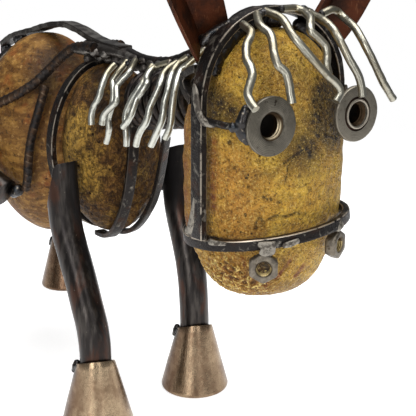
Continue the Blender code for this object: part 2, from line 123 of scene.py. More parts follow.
class DonkeyStage(bpy.types.PropertyGroup):
    key: power("Key light", "Power of the front light", 5.0)
    top: power("Top light", "Power of the overhead light", 17.0)
    fill: power("Fill light", "Power of the smaller front light", 1.8)
    room: strength("Room light", "Strength of the light from all round", 0.17)
    floor: colour("Floor", "Colour of the floor", (0.93, 0.93, 0.93))
    glow: strength("Floor glow", "Light that comes through the paper floor", 0.5)
    reach: FloatProperty(name="Floor radius", description="Radius of the paper floor", default=0.85, min=0.3,
                         unit="LENGTH", subtype="DISTANCE")


def settings(group):
    """One of the donkey's three groups of settings."""
    return getattr(bpy.context.scene, f"donkey_{group}")


# ---------------------------------------------------------------------------------- modelling
def release():
    """Leave edit mode with nothing selected."""
    if bpy.context.object and bpy.context.object.mode != "OBJECT":
        bpy.ops.object.mode_set(mode="OBJECT")
    bpy.ops.object.select_all(action="DESELECT")


def hold(*pieces):
    """Select only these pieces; the first one is active."""
    release()
    for piece in pieces:
        piece.select_set(True)
    bpy.context.view_layer.objects.active = pieces[0]
    return pieces[0]


def edit(piece):
    """Open a piece in edit mode with everything selected."""
    hold(piece)
    bpy.ops.object.mode_set(mode="EDIT")
    bpy.ops.mesh.select_all(action="SELECT")


def named(piece, name):
    """Give a piece and its data this name."""
    piece.name = piece.data.name = name
    return piece


def placed(name, data):
    """A new object in the scene that shows this data."""
    made = bpy.data.objects.new(name, data)
    bpy.context.scene.collection.objects.link(made)
    return made


def adjust(thing, traits):
    """Set each of these traits of a thing."""
    for name, value in traits.items():
        setattr(thing, name, value)


def modify(piece, kind, **traits):
    """Add a modifier with these traits and apply it."""
    hold(piece)
    change = piece.modifiers.new(kind.lower(), kind)
    adjust(change, traits)
    bpy.ops.object.modifier_apply(modifier=change.name)


def rough(piece, kind, size, depth, level=0.5, group="", stops=(), **traits):
    """Push the surface in and out by a texture of that size; level is the tone that stays put."""
    texture = bpy.data.textures.new(kind.lower(), kind)
    texture.noise_scale = size * MM
    adjust(texture, traits)
    if stops:
        texture.use_color_ramp = True
        for element, (position, tone) in zip(texture.color_ramp.elements, stops):
            element.position = position
            element.color = (tone, tone, tone, 1)
    modify(piece, "DISPLACE", texture=texture, strength=depth * MM, mid_level=level, texture_coords="LOCAL",
           vertex_group=group)


def even_skin(piece, grain, rounds):
    """Give a piece a smooth skin of even faces, grain millimetres across."""
    modify(piece, "REMESH", mode="VOXEL", voxel_size=grain * MM)
    modify(piece, "SMOOTH", factor=0.5, iterations=rounds)


def merged_copy(node, name):
    """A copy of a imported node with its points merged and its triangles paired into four-sided faces."""
    piece = named(placed(name, NODES[node].data.copy()), name)
    piece.data.materials.clear()
    hold(piece)
    bpy.ops.mesh.customdata_custom_splitnormals_clear()
    edit(piece)
    bpy.ops.mesh.remove_doubles(threshold=MERGE)
    bpy.ops.mesh.tris_convert_to_quads(face_threshold=math.radians(20), shape_threshold=math.pi)
    release()
    return piece


def end_ring(shape):
    """The points round the higher of a bar's two flat ends, the only faces square to all their neighbours."""
    whole = shape.copy()
    bmesh.ops.dissolve_limit(whole, angle_limit=math.radians(0.3), verts=whole.verts, edges=whole.edges)
    ends = [face for face in whole.faces if all(edge.calc_face_angle(0.0) > 1.2 for edge in face.edges)]
    corners = [vert.co.copy() for vert in max(ends, key=lambda face: face.calc_center_median().z).verts]
    whole.free()
    return [min(shape.verts, key=lambda vert: (vert.co - corner).length) for corner in corners]


def centre_line(node):
    """The middle of a round bar, from its higher end: the mean of ring after ring of its points."""
    piece = merged_copy(node, "measured")
    shape = bmesh.new()
    shape.from_mesh(piece.data)
    ring = end_ring(shape)
    seen, line = set(ring), []
    while ring:
        line.append(sum((vert.co for vert in ring), Vector()) / len(ring))
        beyond = []
        for vert in ring:
            for edge in vert.link_edges:
                other = edge.other_vert(vert)
                if other not in seen:
                    seen.add(other)
                    beyond.append(other)
        ring = beyond
    shape.free()
    bpy.data.objects.remove(piece)
    return line


def sealed(piece):
    """Merge a piece's doubled points and turn its faces outwards."""
    edit(piece)
    bpy.ops.mesh.remove_doubles(threshold=MERGE)
    bpy.ops.mesh.normals_make_consistent(inside=False)
    release()
    return piece


def bar(name, points, diameter, sides=16):
    """A round bar through the points: a curve given its thickness and made a mesh."""
    release()
    bpy.ops.curve.primitive_bezier_curve_add(location=(0, 0, 0))
    curve = named(bpy.context.object, name).data
    curve.dimensions = "3D"
    curve.resolution_u = 1
    curve.bevel_depth = diameter / 2
    curve.bevel_resolution = (sides - 4) // 2
    curve.use_fill_caps = True
    spline = curve.splines[0]
    spline.bezier_points.add(len(points) - 2)
    for knot, point in zip(spline.bezier_points, points):
        knot.co = point
        knot.handle_left_type = knot.handle_right_type = "AUTO"
    bpy.ops.object.convert(target="MESH")
    return sealed(bpy.context.object)


def turned(name, profile, segments):
    """A turned shape about the z axis: a ring carried through each (radius, height) of the profile."""
    release()
    radius, height = profile[0]
    bpy.ops.mesh.primitive_circle_add(vertices=segments, radius=max(radius, AXIS_RING) * MM,
                                      location=(0, 0, height * MM))
    piece = named(bpy.context.object, name)
    bpy.ops.object.transform_apply()
    edit(piece)
    if radius == 0:
        bpy.ops.mesh.edge_face_add()
    for wider, higher in profile[1:]:
        bpy.ops.mesh.extrude_region_move(TRANSFORM_OT_translate={"value": (0, 0, (higher - height) * MM)})
        share = max(wider, AXIS_RING) / max(radius, AXIS_RING)
        bpy.ops.transform.resize(value=(share, share, 1), center_override=(0, 0, higher * MM))
        radius, height = wider, higher
    if radius == 0:
        bpy.ops.mesh.edge_face_add()
    return sealed(piece)


def soften(piece, width, angle, segments=2, material=-1):
    """Round every edge that turns by more than an angle in degrees."""
    modify(piece, "BEVEL", width=width, segments=segments, limit_method="ANGLE",
           angle_limit=math.radians(angle), material=material)


def settle(piece, matrix):
    """Put a piece in its place and leave that place in its mesh."""
    piece.data.transform(matrix)
    piece.data.update()


def shade(piece, angle):
    """Shade a piece smooth, except where its surface turns by more than the angle in degrees."""
    hold(piece)
    bpy.ops.object.shade_smooth_by_angle(angle=math.radians(angle))


def dress(piece, *finishes):
    """Give a piece its finishes, one slot for each."""
    for finish in finishes:
        piece.data.materials.append(finish)


def finished(piece, slot, nodes, *finishes, angle=40):
    """Dress a finished piece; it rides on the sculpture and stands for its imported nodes."""
    shade(piece, angle)
    dress(piece, *finishes)
    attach(piece, "root")
    if nodes:
        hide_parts(*nodes)


def keep_value(piece, name, values):
    """Store one number from 0 to 1 for every point of a piece, for its finish to read."""
    layer = piece.data.attributes.new(name, "FLOAT", "POINT")
    layer.data.foreach_set("value", numpy.clip(values, 0.0, 1.0).astype(numpy.float32))


def places(piece):
    """The points of a piece as rows of x, y, z."""
    found = numpy.empty(len(piece.data.vertices) * 3, numpy.float32)
    piece.data.vertices.foreach_get("co", found)
    return found.reshape(-1, 3).astype(float)


def push(piece, weights, depth):
    """Move every point along its normal by its weight times a depth in millimetres."""
    normals = numpy.empty(len(piece.data.vertices) * 3, numpy.float32)
    piece.data.vertices.foreach_get("normal", normals)
    moved = places(piece) + normals.reshape(-1, 3) * numpy.array(weights)[:, None] * depth * MM
    piece.data.vertices.foreach_set("co", moved.ravel())
    piece.data.update()


# ----------------------------------------------------------------------------------- finishes
class Value:
    """A number, colour or vector that varies over a surface; arithmetic on it adds Math nodes."""

    def __init__(self, finish, socket):
        self.finish = finish
        self.socket = socket

    def maths(self, operation, *operands):
        return self.finish.node("ShaderNodeMath", {"operation": operation}, dict(enumerate(operands)))

    def __add__(self, other):
        return self.maths("ADD", self, other)

    def __sub__(self, other):
        return self.maths("SUBTRACT", self, other)

    def __rsub__(self, other):
        return self.maths("SUBTRACT", other, self)

    def __mul__(self, other):
        return self.maths("MULTIPLY", self, other)

    def __pow__(self, other):
        return self.maths("POWER", self, other)

    __radd__ = __add__
    __rmul__ = __mul__

    def rise(self, low, high):
        """0 below low and 1 above high, with a soft step between; high may be the lower one."""
        return self.finish.node("ShaderNodeMapRange", {"interpolation_type": "SMOOTHSTEP"},
                                {"Value": self, "From Min": low, "From Max": high})


class Finish:
    """A material in the making: its shader, the nodes that feed it and its colour so far, the ground."""

    def __init__(self, name, metallic=0.0, **sockets):
        self.material = bpy.data.materials.new(name)
        self.material.use_nodes = True
        self.tree = self.material.node_tree
        self.shader = self.tree.nodes["Principled BSDF"]
        self.shader.inputs["Metallic"].default_value = metallic
        for socket, value in sockets.items():
            self.shader.inputs[socket.replace("_", " ")].default_value = value
        self.place = self.node("ShaderNodeTexCoord", {}, {}, "Object")
        self.ground = None

    def node(self, kind, traits, inputs, output=0):
        """Add a node and return its output; an input is a Value or a plain number, vector or colour."""
        made = self.tree.nodes.new(kind)
        adjust(made, traits)
        for socket, value in inputs.items():
            if isinstance(value, Value):
                self.tree.links.new(value.socket, made.inputs[socket])
            else:
                made.inputs[socket].default_value = value
        return Value(self, made.outputs[output])

    def stretched(self, x, y, z):
        """The place with its axes scaled; a small scale draws a texture out along that axis."""
        return self.node("ShaderNodeVectorMath", {"operation": "MULTIPLY"}, {0: self.place, 1: (x, y, z)})

    def centred(self, point):
        """The place measured from a point."""
        return self.node("ShaderNodeMapping", {"vector_type": "TEXTURE"},
                         {"Vector": self.place, "Location": point})

    def noise(self, size, detail=4.0, coarse=0.55, bent=0.0, place=None):
        """Noise whose clouds are about size millimetres across."""
        return self.node("ShaderNodeTexNoise", {},
                         {"Vector": place or self.place, "Scale": 1 / (size * MM), "Detail": detail,
                          "Roughness": coarse, "Distortion": bent})

    def cells(self, size):
        """Distance to the nearest of scattered points about size millimetres apart."""
        return self.node("ShaderNodeTexVoronoi", {},
                         {"Vector": self.place, "Scale": 1 / (size * MM)}, "Distance")

    def stored(self, name):
        """A number that the piece keeps for every point of it."""
        return self.node("ShaderNodeAttribute", {"attribute_name": name}, {}, "Fac")

    def lay(self, share, tint, over=None):
        """Lay a tint over the ground so far by a share, or start the ground over another tint."""
        pair = [value if isinstance(value, Value) else (*value, 1) for value in (over or self.ground, tint)]
        self.ground = self.node("ShaderNodeMix", {"data_type": "RGBA", "clamp_factor": True},
                                {0: share, 6: pair[0], 7: pair[1]}, 2)

    def relief(self, height, distance):
        """A bump of that distance in millimetres."""
        return self.node("ShaderNodeBump", {}, {"Height": height, "Distance": distance * MM})

    def set(self, **feeds):
        """Feed the shader's sockets, its colour from the ground; return the material."""
        if self.ground:
            feeds = {"Base_Color": self.ground, **feeds}
        for socket, value in feeds.items():
            target = self.shader.inputs[socket.replace("_", " ")]
            if isinstance(value, Value):
                self.tree.links.new(value.socket, target)
            else:
                target.default_value = (*value, 1) if hasattr(value, "__len__") else value
        return self.material


def gold_stone():
    """The head: golden ochre, crumbly and pitted, with brown stains, iron-red streaks, painted shade by the
    straps, the far eye, the nostril and the nose band, and painted glints on the wrinkles.
    """
    look = settings("stones")
    finish = Finish("gold_stone", Specular_IOR_Level=0.3)
    clouds = finish.noise(22, 3, 0.5)
    patches = finish.noise(7, 4, 0.6)
    mottle = finish.noise(2.4, 3, 0.6, 0.5)
    grain = finish.noise(1.0, 2, 0.6)
    finish.lay(patches.rise(0.40, 0.66) * 0.8, look.gold, look.ochre)
    finish.lay(clouds.rise(0.50, 0.68) * 0.5, look.umber)
    finish.lay(finish.stored("rosy") * 0.6, (0.58, 0.25, 0.040))
    finish.lay(mottle.rise(0.47, 0.30) * 0.6, look.umber)
    finish.lay(grain.rise(0.54, 0.70) * 0.6, (0.80, 0.54, 0.15))
    finish.lay(grain.rise(0.46, 0.30) * 0.8, (0.07, 0.030, 0.008))
    finish.lay((finish.cells(2.9) + grain * 0.5 + patches * 0.5).rise(0.60, 0.50) * 0.9, look.soot_and_shade)
    # Iron-red streaks and stains, and orange-brown painted shade behind and beside the crown strap.
    finish.lay(finish.stored("stain_and_shade_tint") * (patches * 1.8 + grain - 0.55), look.russet)
    # Painted shade by the straps, round the far eye, in the near nostril and along the nose band, and the
    # darker crumbly patch between the eyes.
    finish.lay(finish.stored("shade") * (mottle * 1.2 + 0.25), look.soot_and_shade)
    finish.lay(finish.stored("groove").rise(0.20, 0.80) * 0.85, (0.085, 0.032, 0.008))
    # Painted highlight: pale gold glints on the crests of the muzzle's wrinkles.
    finish.lay(finish.stored("ridge").rise(0.30, 0.80) * grain.rise(0.35, 0.6), (0.90, 0.66, 0.20))
    finish.lay(finish.stored("hollow").rise(0.10, 0.70) * grain.rise(0.30, 0.52) * 0.9, look.soot_and_shade)
    fine = finish.noise(0.75, 2, 0.6)
    finish.lay(fine.rise(0.56, 0.72) * 0.45, (0.85, 0.60, 0.19))
    finish.lay(fine.rise(0.42, 0.30) * 0.36, (0.09, 0.038, 0.009))
    return finish.set(Roughness=0.60 - grain * 0.3 - finish.stored("ridge") * 0.25,
                      Normal=finish.relief(mottle * 0.8 + grain * 0.7 + fine * 0.3, 2.4))


def speckled_stone():
    """The chest: dark brown, veined and speckled with black, with gold breaking through and painted shade
    under the bars.
    """
    look = settings("stones")
    finish = Finish("speckled_stone", Specular_IOR_Level=0.12)
    clouds = finish.noise(9, 5, 0.62, 0.4)
    mottle = finish.noise(2.6, 4, 0.65, 0.8)
    grain = finish.noise(1.1, 3, 0.65)
    golden = (finish.stored("golden") * 0.34 + clouds + mottle * 0.35).rise(0.66, 1.04)
    finish.lay(mottle.rise(0.40, 0.62), (0.17, 0.082, 0.020), (0.075, 0.034, 0.009))
    finish.lay(golden, look.speckle)
    finish.lay(golden * grain.rise(0.50, 0.66) * 0.6, (0.50, 0.33, 0.085))
    veins = finish.noise(6, 5, 0.7, 1.6, finish.stretched(1, 1, 0.5))
    finish.lay(veins.rise(0.45, 0.50) * veins.rise(0.57, 0.51) * 0.7, look.soot_and_shade)
    finish.lay(mottle.rise(0.45, 0.30) * 0.8, look.soot_and_shade)
    finish.lay(grain.rise(0.42, 0.30) * 0.8, look.soot_and_shade)
    finish.lay(finish.stored("hollow").rise(0.15, 0.6), look.soot_and_shade)
    # Painted shade under the bars and along the girth hoop.
    finish.lay(finish.stored("painted_shade") * (mottle + 0.5), look.soot_and_shade)
    return finish.set(Roughness=0.60 - grain * 0.35,
                      Normal=finish.relief(mottle + grain * 0.6, 1.8))


def brown_stone():
    """The rump: smoother, orange brown, with pale blotches in level streaks and painted shade under the
    breeching bars.
    """
    look = settings("stones")
    finish = Finish("brown_stone", Specular_IOR_Level=0.18)
    level = finish.stretched(1, 1, 2.2)
    streaks = finish.noise(9, 6, 0.62, 0.3, level)
    mottle = finish.noise(3.0, 4, 0.62, 0.3)
    grain = finish.noise(1.4, 4, 0.65)
    finish.lay(streaks.rise(0.42, 0.68), look.tan, look.umber)
    finish.lay(finish.noise(19, 3, 0.5, 0, level).rise(0.50, 0.66) * 0.8, look.umber)
    finish.lay(finish.noise(14, 3).rise(0.54, 0.70) * 0.6, look.russet)
    finish.lay(mottle.rise(0.44, 0.32) * 0.7, look.soot_and_shade)
    finish.lay(mottle.rise(0.56, 0.70) * 0.5, (0.50, 0.30, 0.10))
    finish.lay(grain.rise(0.44, 0.32) * 0.6, (0.05, 0.022, 0.006))
    # Painted shade under the breeching bars.
    finish.lay(finish.stored("painted_shade") * 0.75, look.soot_and_shade)
    finish.lay(finish.stored("hollow").rise(0.15, 0.6), look.soot_and_shade)
    return finish.set(Roughness=0.60 - grain * 0.25,
                      Normal=finish.relief(mottle * 0.7 + grain * 0.5, 1.1))


def black_steel(name="black_steel", greyed=0.0):
    """Mill scale, scuffed here and there to grey, with a little rust in the hollows."""
    look = settings("steel")
    finish = Finish(name, 0.85)
    scuffs = finish.noise(5, 6, 0.7, 0.8)
    grain = finish.noise(1.0, 3, 0.6)
    finish.lay(finish.noise(9, 4).rise(0.50, 0.66) * 0.8, (0.050, 0.024, 0.014), look.black)
    finish.lay(scuffs.rise(0.55 - greyed, 0.68 - greyed) * 0.7, look.slag)
    return finish.set(Roughness=grain * 0.3 + scuffs * 0.3 + 0.12,
                      Normal=finish.relief(grain + scuffs, 0.3))


def smooth_steel():
    """Dressed weld metal: dark, with a painted soft grey sheen in broad patches."""
    finish = Finish("smooth_steel", 0.85)
    patches = finish.noise(9, 4, 0.6)
    grain = finish.noise(1.0, 3, 0.6)
    # Painted sheen: broad patches of lighter grey.
    finish.lay(patches.rise(0.42, 0.62) * 0.8, (0.22, 0.205, 0.185), (0.05, 0.043, 0.038))
    return finish.set(Roughness=grain * 0.2 + 0.28, Normal=finish.relief(grain, 0.15))


def edge_wear_and_highlight(name, bright_share):
    """The strap's corners, rubbed bright with scale left in patches; on the nose band's top corners the
    bright steel is a painted highlight.
    """
    look = settings("steel")
    finish = Finish(name, 0.9)
    wear = finish.noise(6, 5, 0.7, 0.5)
    finish.lay(wear.rise(0.38, 0.50) * bright_share, look.edge, look.black)
    return finish.set(Roughness=0.55 - wear * 0.3,
                      Normal=finish.relief(finish.noise(0.9, 3, 0.6), 0.15))


def leg_steel():
    """Round bar with its mill skin: gunmetal, with brown and reddish streaks along it."""
    look = settings("steel")
    finish = Finish("leg_steel", 0.85)
    along = finish.stretched(1, 1, 0.14)
    streaks = finish.noise(2.6, 5, 0.6, 0.1, along)
    blush = finish.noise(8, 4, 0.6, 0.3, finish.stretched(1, 1, 0.3))
    grain = finish.noise(1.0, 4, 0.6)
    finish.lay(streaks.rise(0.44, 0.66) * 0.8, look.gunmetal, look.black)
    finish.lay(blush.rise(0.50, 0.66) * 0.7, (0.058, 0.024, 0.014))
    finish.lay(finish.noise(1.6, 2, 0.5).rise(0.72, 0.78) * 0.5, look.slag)
    # Darker and duller towards the top of the front legs, under the chest.
    finish.lay(finish.stored("darkened_top") * 1.4, (0.006, 0.005, 0.005))
    return finish.set(Roughness=grain * 0.14 + streaks * 0.1 + 0.20 + finish.stored("darkened_top") * 0.4,
                      Normal=finish.relief(grain * 0.5 + streaks * 0.4, 0.12))


def hoof_steel():
    """Bare turned steel: upright brush marks, brown bloom and darker spots."""
    look = settings("steel")
    finish = Finish("hoof_steel", 0.95)
    upright = finish.stretched(1, 1, 0.06)
    brush = finish.noise(1.3, 4, 0.6, 0, upright)
    bands = finish.noise(6, 3, 0.5, 0, upright)
    bloom = finish.noise(10, 6, 0.68, 0.5)
    fine = finish.noise(2.4, 4, 0.65)
    finish.lay(brush.rise(0.34, 0.66) * 0.4, (0.30, 0.21, 0.13), look.hoof)
    finish.lay(bands.rise(0.46, 0.62) * 0.5, (0.20, 0.135, 0.085))
    finish.lay((bloom + fine * 0.35).rise(0.58, 0.90) * 0.6, (0.125, 0.066, 0.036))
    finish.lay(fine.rise(0.36, 0.27) * 0.5, (0.06, 0.032, 0.02))
    finish.lay(finish.stored("browned") * (bloom + 0.45), (0.105, 0.058, 0.034))
    finish.lay(finish.stored("scorch"), look.black)
    return finish.set(Roughness=brush * 0.14 + bloom * 0.2 + 0.10,
                      Normal=finish.relief(brush * 0.7 + fine * 0.5, 0.16))


def ribbed_steel():
    """Reinforcing bar: brown scale, its ribs rubbed to bare metal here and there."""
    look = settings("steel")
    finish = Finish("ribbed_steel", 0.8)
    scale = finish.noise(4, 5, 0.65)
    grain = finish.noise(0.9, 4, 0.7)
    finish.lay(scale.rise(0.40, 0.62), (0.055, 0.030, 0.016), look.black)
    brightened = finish.stored("rib").rise(0.5, 1.0) * finish.noise(4, 3).rise(0.47, 0.62) * 0.22
    finish.lay(brightened, (0.34, 0.27, 0.19))
    return finish.set(Roughness=grain * 0.3 + 0.3, Normal=finish.relief(grain, 0.25))


def spring_steel():
    """The neck spring: black scale scuffed to brown."""
    look = settings("steel")
    finish = Finish("spring_steel", 0.9)
    scuffs = finish.noise(4, 5, 0.65)
    finish.lay(scuffs.rise(0.48, 0.66) * 0.8, (0.085, 0.060, 0.045), look.black)
    return finish.set(Roughness=scuffs * 0.4 + 0.14,
                      Normal=finish.relief(finish.noise(1.0, 4, 0.7), 0.12))


def zinc_wire(name="zinc_wire", bright=0.0):
    """Galvanised wire: dull silver, with straw-coloured tints and dark nicks; on the mane, a share of near
    white is a painted highlight.
    """
    look = settings("steel")
    finish = Finish(name, 0.95)
    tint = finish.noise(7, 4, 0.6)
    nicks = finish.noise(2.2, 4, 0.62, 0.6)
    finish.lay(tint.rise(0.42, 0.64) * (0.6 - bright), (0.27, 0.23, 0.155), look.zinc)
    # Painted highlight: a share of near white over the whole wire.
    finish.lay(bright, (0.80, 0.84, 0.80))
    finish.lay(nicks.rise(0.44, 0.32) * 0.5, (0.11, 0.090, 0.060))
    finish.lay(finish.stored("root"), (0.17, 0.125, 0.04))
    return finish.set(Roughness=tint * 0.2 + 0.22, Normal=finish.relief(nicks, 0.1))


def zinc_nut():
    """The nostril nuts: dull zinc with a brown bloom, painted shade deepening into the bore and a painted
    highlight on one side of its threads.
    """
    finish = Finish("zinc_nut", 0.9)
    bloom = finish.noise(3.5, 5, 0.65)
    finish.lay(bloom.rise(0.40, 0.62) * 0.7, (0.25, 0.215, 0.165), (0.12, 0.103, 0.083))
    finish.lay(finish.noise(1.7, 3).rise(0.42, 0.31) * 0.85, (0.07, 0.052, 0.032))
    # Painted shade, darker the deeper into the bore.
    finish.lay(finish.stored("bore"), (0.05, 0.028, 0.010))
    # Painted highlight on the threads of one side of the bore.
    finish.lay(finish.stored("thread"), (0.62, 0.48, 0.22))
    return finish.set(Roughness=bloom * 0.3 + 0.3,
                      Normal=finish.relief(finish.noise(0.9, 3, 0.6) + bloom, 0.2))


def nut_steel(side_name, centre, bloomed):
    """Faced steel: faint tool marks run in rings round the bore, with a few dark chips, painted shade in the
    bore and painted highlights on its threads.
    """
    look = settings("steel")
    finish = Finish(f"nut_steel_{side_name}", 0.9)
    rings = finish.node("ShaderNodeTexWave", {"wave_type": "RINGS", "rings_direction": "Y"},
                        {"Vector": finish.centred(centre), "Scale": 520.0, "Distortion": 1.5, "Detail": 2.0,
                         "Detail Scale": 2.0}, 1)
    bloom = finish.noise(6, 5, 0.65)
    grain = finish.noise(1.1, 4, 0.65)
    finish.lay(bloom.rise(0.42, 0.64) * 0.5 + bloomed, (0.25, 0.225, 0.18), look.nut)
    finish.lay(rings * 0.4, (0.06, 0.050, 0.038))
    finish.lay(grain.rise(0.44, 0.32) * 0.5, (0.05, 0.038, 0.026))
    finish.lay(finish.noise(2.4, 3, 0.6).rise(0.34, 0.29) * 0.9, (0.025, 0.018, 0.013))
    # Painted shade inside the bore.
    finish.lay(finish.stored("bore"), (0.030, 0.016, 0.006))
    finish.lay(finish.stored("polish") * (bloom + 0.4), (0.36, 0.32, 0.26))
    finish.lay(finish.stored("rusty"), (0.035, 0.014, 0.009))
    # Painted highlight on the thread crests that face the light.
    finish.lay(finish.stored("thread") ** 2.0, (0.72, 0.60, 0.40))
    # The floor of the bore, painted near black: painted shade.
    finish.lay(finish.stored("shade_floor"), (0.004, 0.003, 0.002))
    return finish.set(Roughness=grain * 0.2 + bloom * 0.2 + 0.26,
                      Normal=finish.relief(rings * 0.3 + grain * 0.7, 0.14))


def rusted_sheet():
    """Ear sheet: deep red-brown patina with coppery scratches and black blooms."""
    look = settings("steel")
    finish = Finish("rusted_sheet", 0.4, Specular_IOR_Level=0.15)
    clouds = finish.noise(13, 4, 0.6)
    grain = finish.noise(1.6, 5, 0.65)
    scratches = finish.noise(1.5, 5, 0.6, 0.3, finish.stretched(1, 1, 0.15))
    finish.lay(clouds.rise(0.42, 0.62), (0.022, 0.008, 0.004), look.rust)
    finish.lay(scratches.rise(0.58, 0.72) * 0.5, (0.17, 0.065, 0.028))
    finish.lay(grain.rise(0.60, 0.74) * 0.5, (0.14, 0.055, 0.026))
    return finish.set(Roughness=grain * 0.3 + 0.34,
                      Normal=finish.relief(grain + scratches * 0.5, 0.22))


def bare_edge():
    """The cut edge of the ear sheet: copper brown."""
    finish = Finish("bare_edge", 0.8)
    wear = finish.noise(4, 4, 0.6)
    finish.lay(wear.rise(0.40, 0.60), (0.28, 0.15, 0.08), (0.08, 0.032, 0.014))
    return finish.set(Roughness=0.6 - wear * 0.3)


def weld_grey():
    """Bare weld metal: pale, dull and crusted."""
    look = settings("steel")
    finish = Finish("weld_grey", 0.7)
    crust = finish.noise(1.8, 5, 0.65)
    soil = finish.noise(4, 4, 0.6)
    finish.lay(crust.rise(0.30, 0.56), look.slag, (0.12, 0.105, 0.085))
    finish.lay(soil.rise(0.48, 0.58) * 0.85, (0.04, 0.031, 0.024))
    finish.lay(crust.rise(0.42, 0.34) * 0.8, (0.03, 0.024, 0.019))
    return finish.set(Roughness=crust * 0.25 + 0.36, Normal=finish.relief(crust, 0.2))


def black_weld_and_shade():
    """Scaled weld metal: glassy black with a blue temper; also the black drops that stand in for shade in
    gaps.
    """
    look = settings("steel")
    finish = Finish("black_weld_and_shade", 0.8, Coat_Weight=0.35, Coat_Roughness=0.18)
    temper = finish.noise(2.6, 4, 0.6)
    finish.lay(temper.rise(0.50, 0.66), (0.016, 0.020, 0.025), look.black)
    finish.lay(finish.noise(2.0, 4).rise(0.60, 0.70) * 0.8, (0.24, 0.20, 0.15))
    return finish.set(Roughness=temper * 0.3 + 0.16,
                      Normal=finish.relief(finish.noise(1.3, 4), 0.3))


_finishes = {}


def finish_of(make, *details):
    """Each material is made once, when the first piece needs it."""
    key = (make, *details)
    if key not in _finishes:
        _finishes[key] = make(*details)
    return _finishes[key]


# ------------------------------------------------------------------------------ shared shapes
def smooth(points, step=1.0):
    """A smooth line through the points (Catmull-Rom), cut to equal steps in millimetres."""
    knots = [Vector(point) for point in points]
    knots = [2 * knots[0] - knots[1], *knots, 2 * knots[-1] - knots[-2]]
    fine, parts = [], 24
    for a, b, c, d in zip(knots, knots[1:], knots[2:], knots[3:]):
        for part in range(parts):
            t = part / parts
            fine.append(0.5 * (2 * b + (c - a) * t + (2 * a - 5 * b + 4 * c - d) * t**2
                               + (3 * b - 3 * c + d - a) * t**3))
    fine.append(knots[-2])
    run = [0.0]
    for before, after in zip(fine, fine[1:]):
        run.append(run[-1] + (after - before).length)
    count = max(2, round(run[-1] / (step * MM)))
    line, k = [], 0
    for part in range(count + 1):
        goal = run[-1] * part / count
        while k < len(fine) - 2 and run[k + 1] < goal:
            k += 1
        line.append(fine[k].lerp(fine[k + 1], min((goal - run[k]) / max(run[k + 1] - run[k], 1e-9), 1.0)))
    return line


def at(x, y, z):
    """A place in millimetres, y counting from the line between the front hoofs."""
    return Vector((x, y - HOOF_LINE, z)) * MM


def closeness(piece, points, reach):
    """For every point of a piece: 1 on these points, falling to 0 at reach millimetres from them."""
    spots = places(piece)
    nearest = numpy.full(len(spots), 1.0)
    for point in points:
        nearest = numpy.minimum(nearest, ((spots - numpy.array(point)) ** 2).sum(axis=1))
    return numpy.clip(1.0 - numpy.sqrt(nearest) / (reach * MM), 0.0, 1.0)


def near(piece, spots, reach):
    """The same for places given as (x, y, z) in millimetres."""
    return closeness(piece, [at(*spot) for spot in spots], reach)


def drawn(stone, corners):
    """A line on the front of a stone through corners given as (x, z) in millimetres."""
    points = []
    for (x, z), (next_x, next_z) in zip(corners, corners[1:]):
        steps = max(1, round(math.hypot(next_x - x, next_z - z) / 0.4))
        for step in range(steps):
            share = step / steps
            start = Vector((x + (next_x - x) * share, -400, z + (next_z - z) * share)) * MM
            found, place, _normal, _face = stone.ray_cast(start, Vector((0, 1, 0)))
            if found:
                points.append(place)
    return points


def sharpen(piece, angle=50):
    """Crease a piece's sharp edges, so that they stay crisp while the rest is rounded."""
    edit(piece)
    bpy.ops.mesh.select_all(action="DESELECT")
    bpy.ops.mesh.select_mode(type="EDGE")
    bpy.ops.mesh.edges_select_sharp(sharpness=math.radians(angle))
    bpy.ops.transform.edge_crease(value=1.0)
    bpy.ops.mesh.select_mode(type="VERT")
    release()


def joined(name, *pieces):
    """One piece made of these."""
    piece = hold(*pieces)
    if len(pieces) > 1:
        bpy.ops.object.join()
    return named(piece, name)


def bead(drops, flat=(1, 1, 1), crust=0.35, share=1.0, melt=8):
    """Weld metal: drops given as (x, y, z, radius) in millimetres, melted into one crusted lump."""
    balls, laid = [], [drops[0]]
    for before, after in zip(drops, drops[1:]):
        if math.dist(before[:3], after[:3]) < BEAD_GAP:
            laid += [tuple(a + (b - a) * part for a, b in zip(before, after)) for part in (0.33, 0.67)]
        laid.append(after)
    release()
    for x, y, z, radius in laid:
        bpy.ops.mesh.primitive_ico_sphere_add(subdivisions=2, radius=radius * share * MM,
                                              location=at(x, y, z), scale=flat)
        balls.append(bpy.context.object)
    lump = joined("lump", *balls)
    bpy.ops.object.transform_apply()
    even_skin(lump, WELD_GRAIN, melt)
    rough(lump, "CLOUDS", 3.0, crust, 0.3, noise_depth=2)
    return lump


# ----------------------------------------------------------------------------------- stones
# Marks on the front of the head stone: the corners of each line as (x, z), and its width, in millimetres.
HEAD_CRACKS = (
    (((-21.5, 130.0), (-21.6, 132.6), (-20.4, 134.8), (-19.6, 132.0), (-17.4, 133.6), (-15.1, 134.8),
      (-11.1, 134.0), (-6.9, 134.8), (-2.0, 133.4)), 0.9),
    (((-12.4, 146.9), (-11.2, 151.4), (-11.5, 154.0), (-9.1, 156.4)), 0.5),
    (((-12.5, 155.4), (-9.8, 157.2), (-7.1, 158.5), (-4.5, 159.4)), 0.9),
    (((-19.6, 142.5), (-18.2, 141.3), (-17.3, 142.1), (-16.6, 140.5)), 0.7),
    (((4.0, 178.0), (6.5, 173.0), (8.5, 169.0), (8.0, 164.0)), 0.9),
)
HEAD_STREAKS = (
    (((-13.1, 101.5), (-14.1, 105.8)), 0.9),
    (((-11.1, 107.2), (-8.5, 112.3), (-6.9, 115.1)), 0.8),
    (((-1.9, 106.8), (-0.8, 108.3), (0.5, 111.0)), 1.2),
    (((-24.5, 117.0), (-22.5, 113.0)), 0.7),
    (((-20.0, 116.0), (-18.6, 113.0)), 0.7),
)
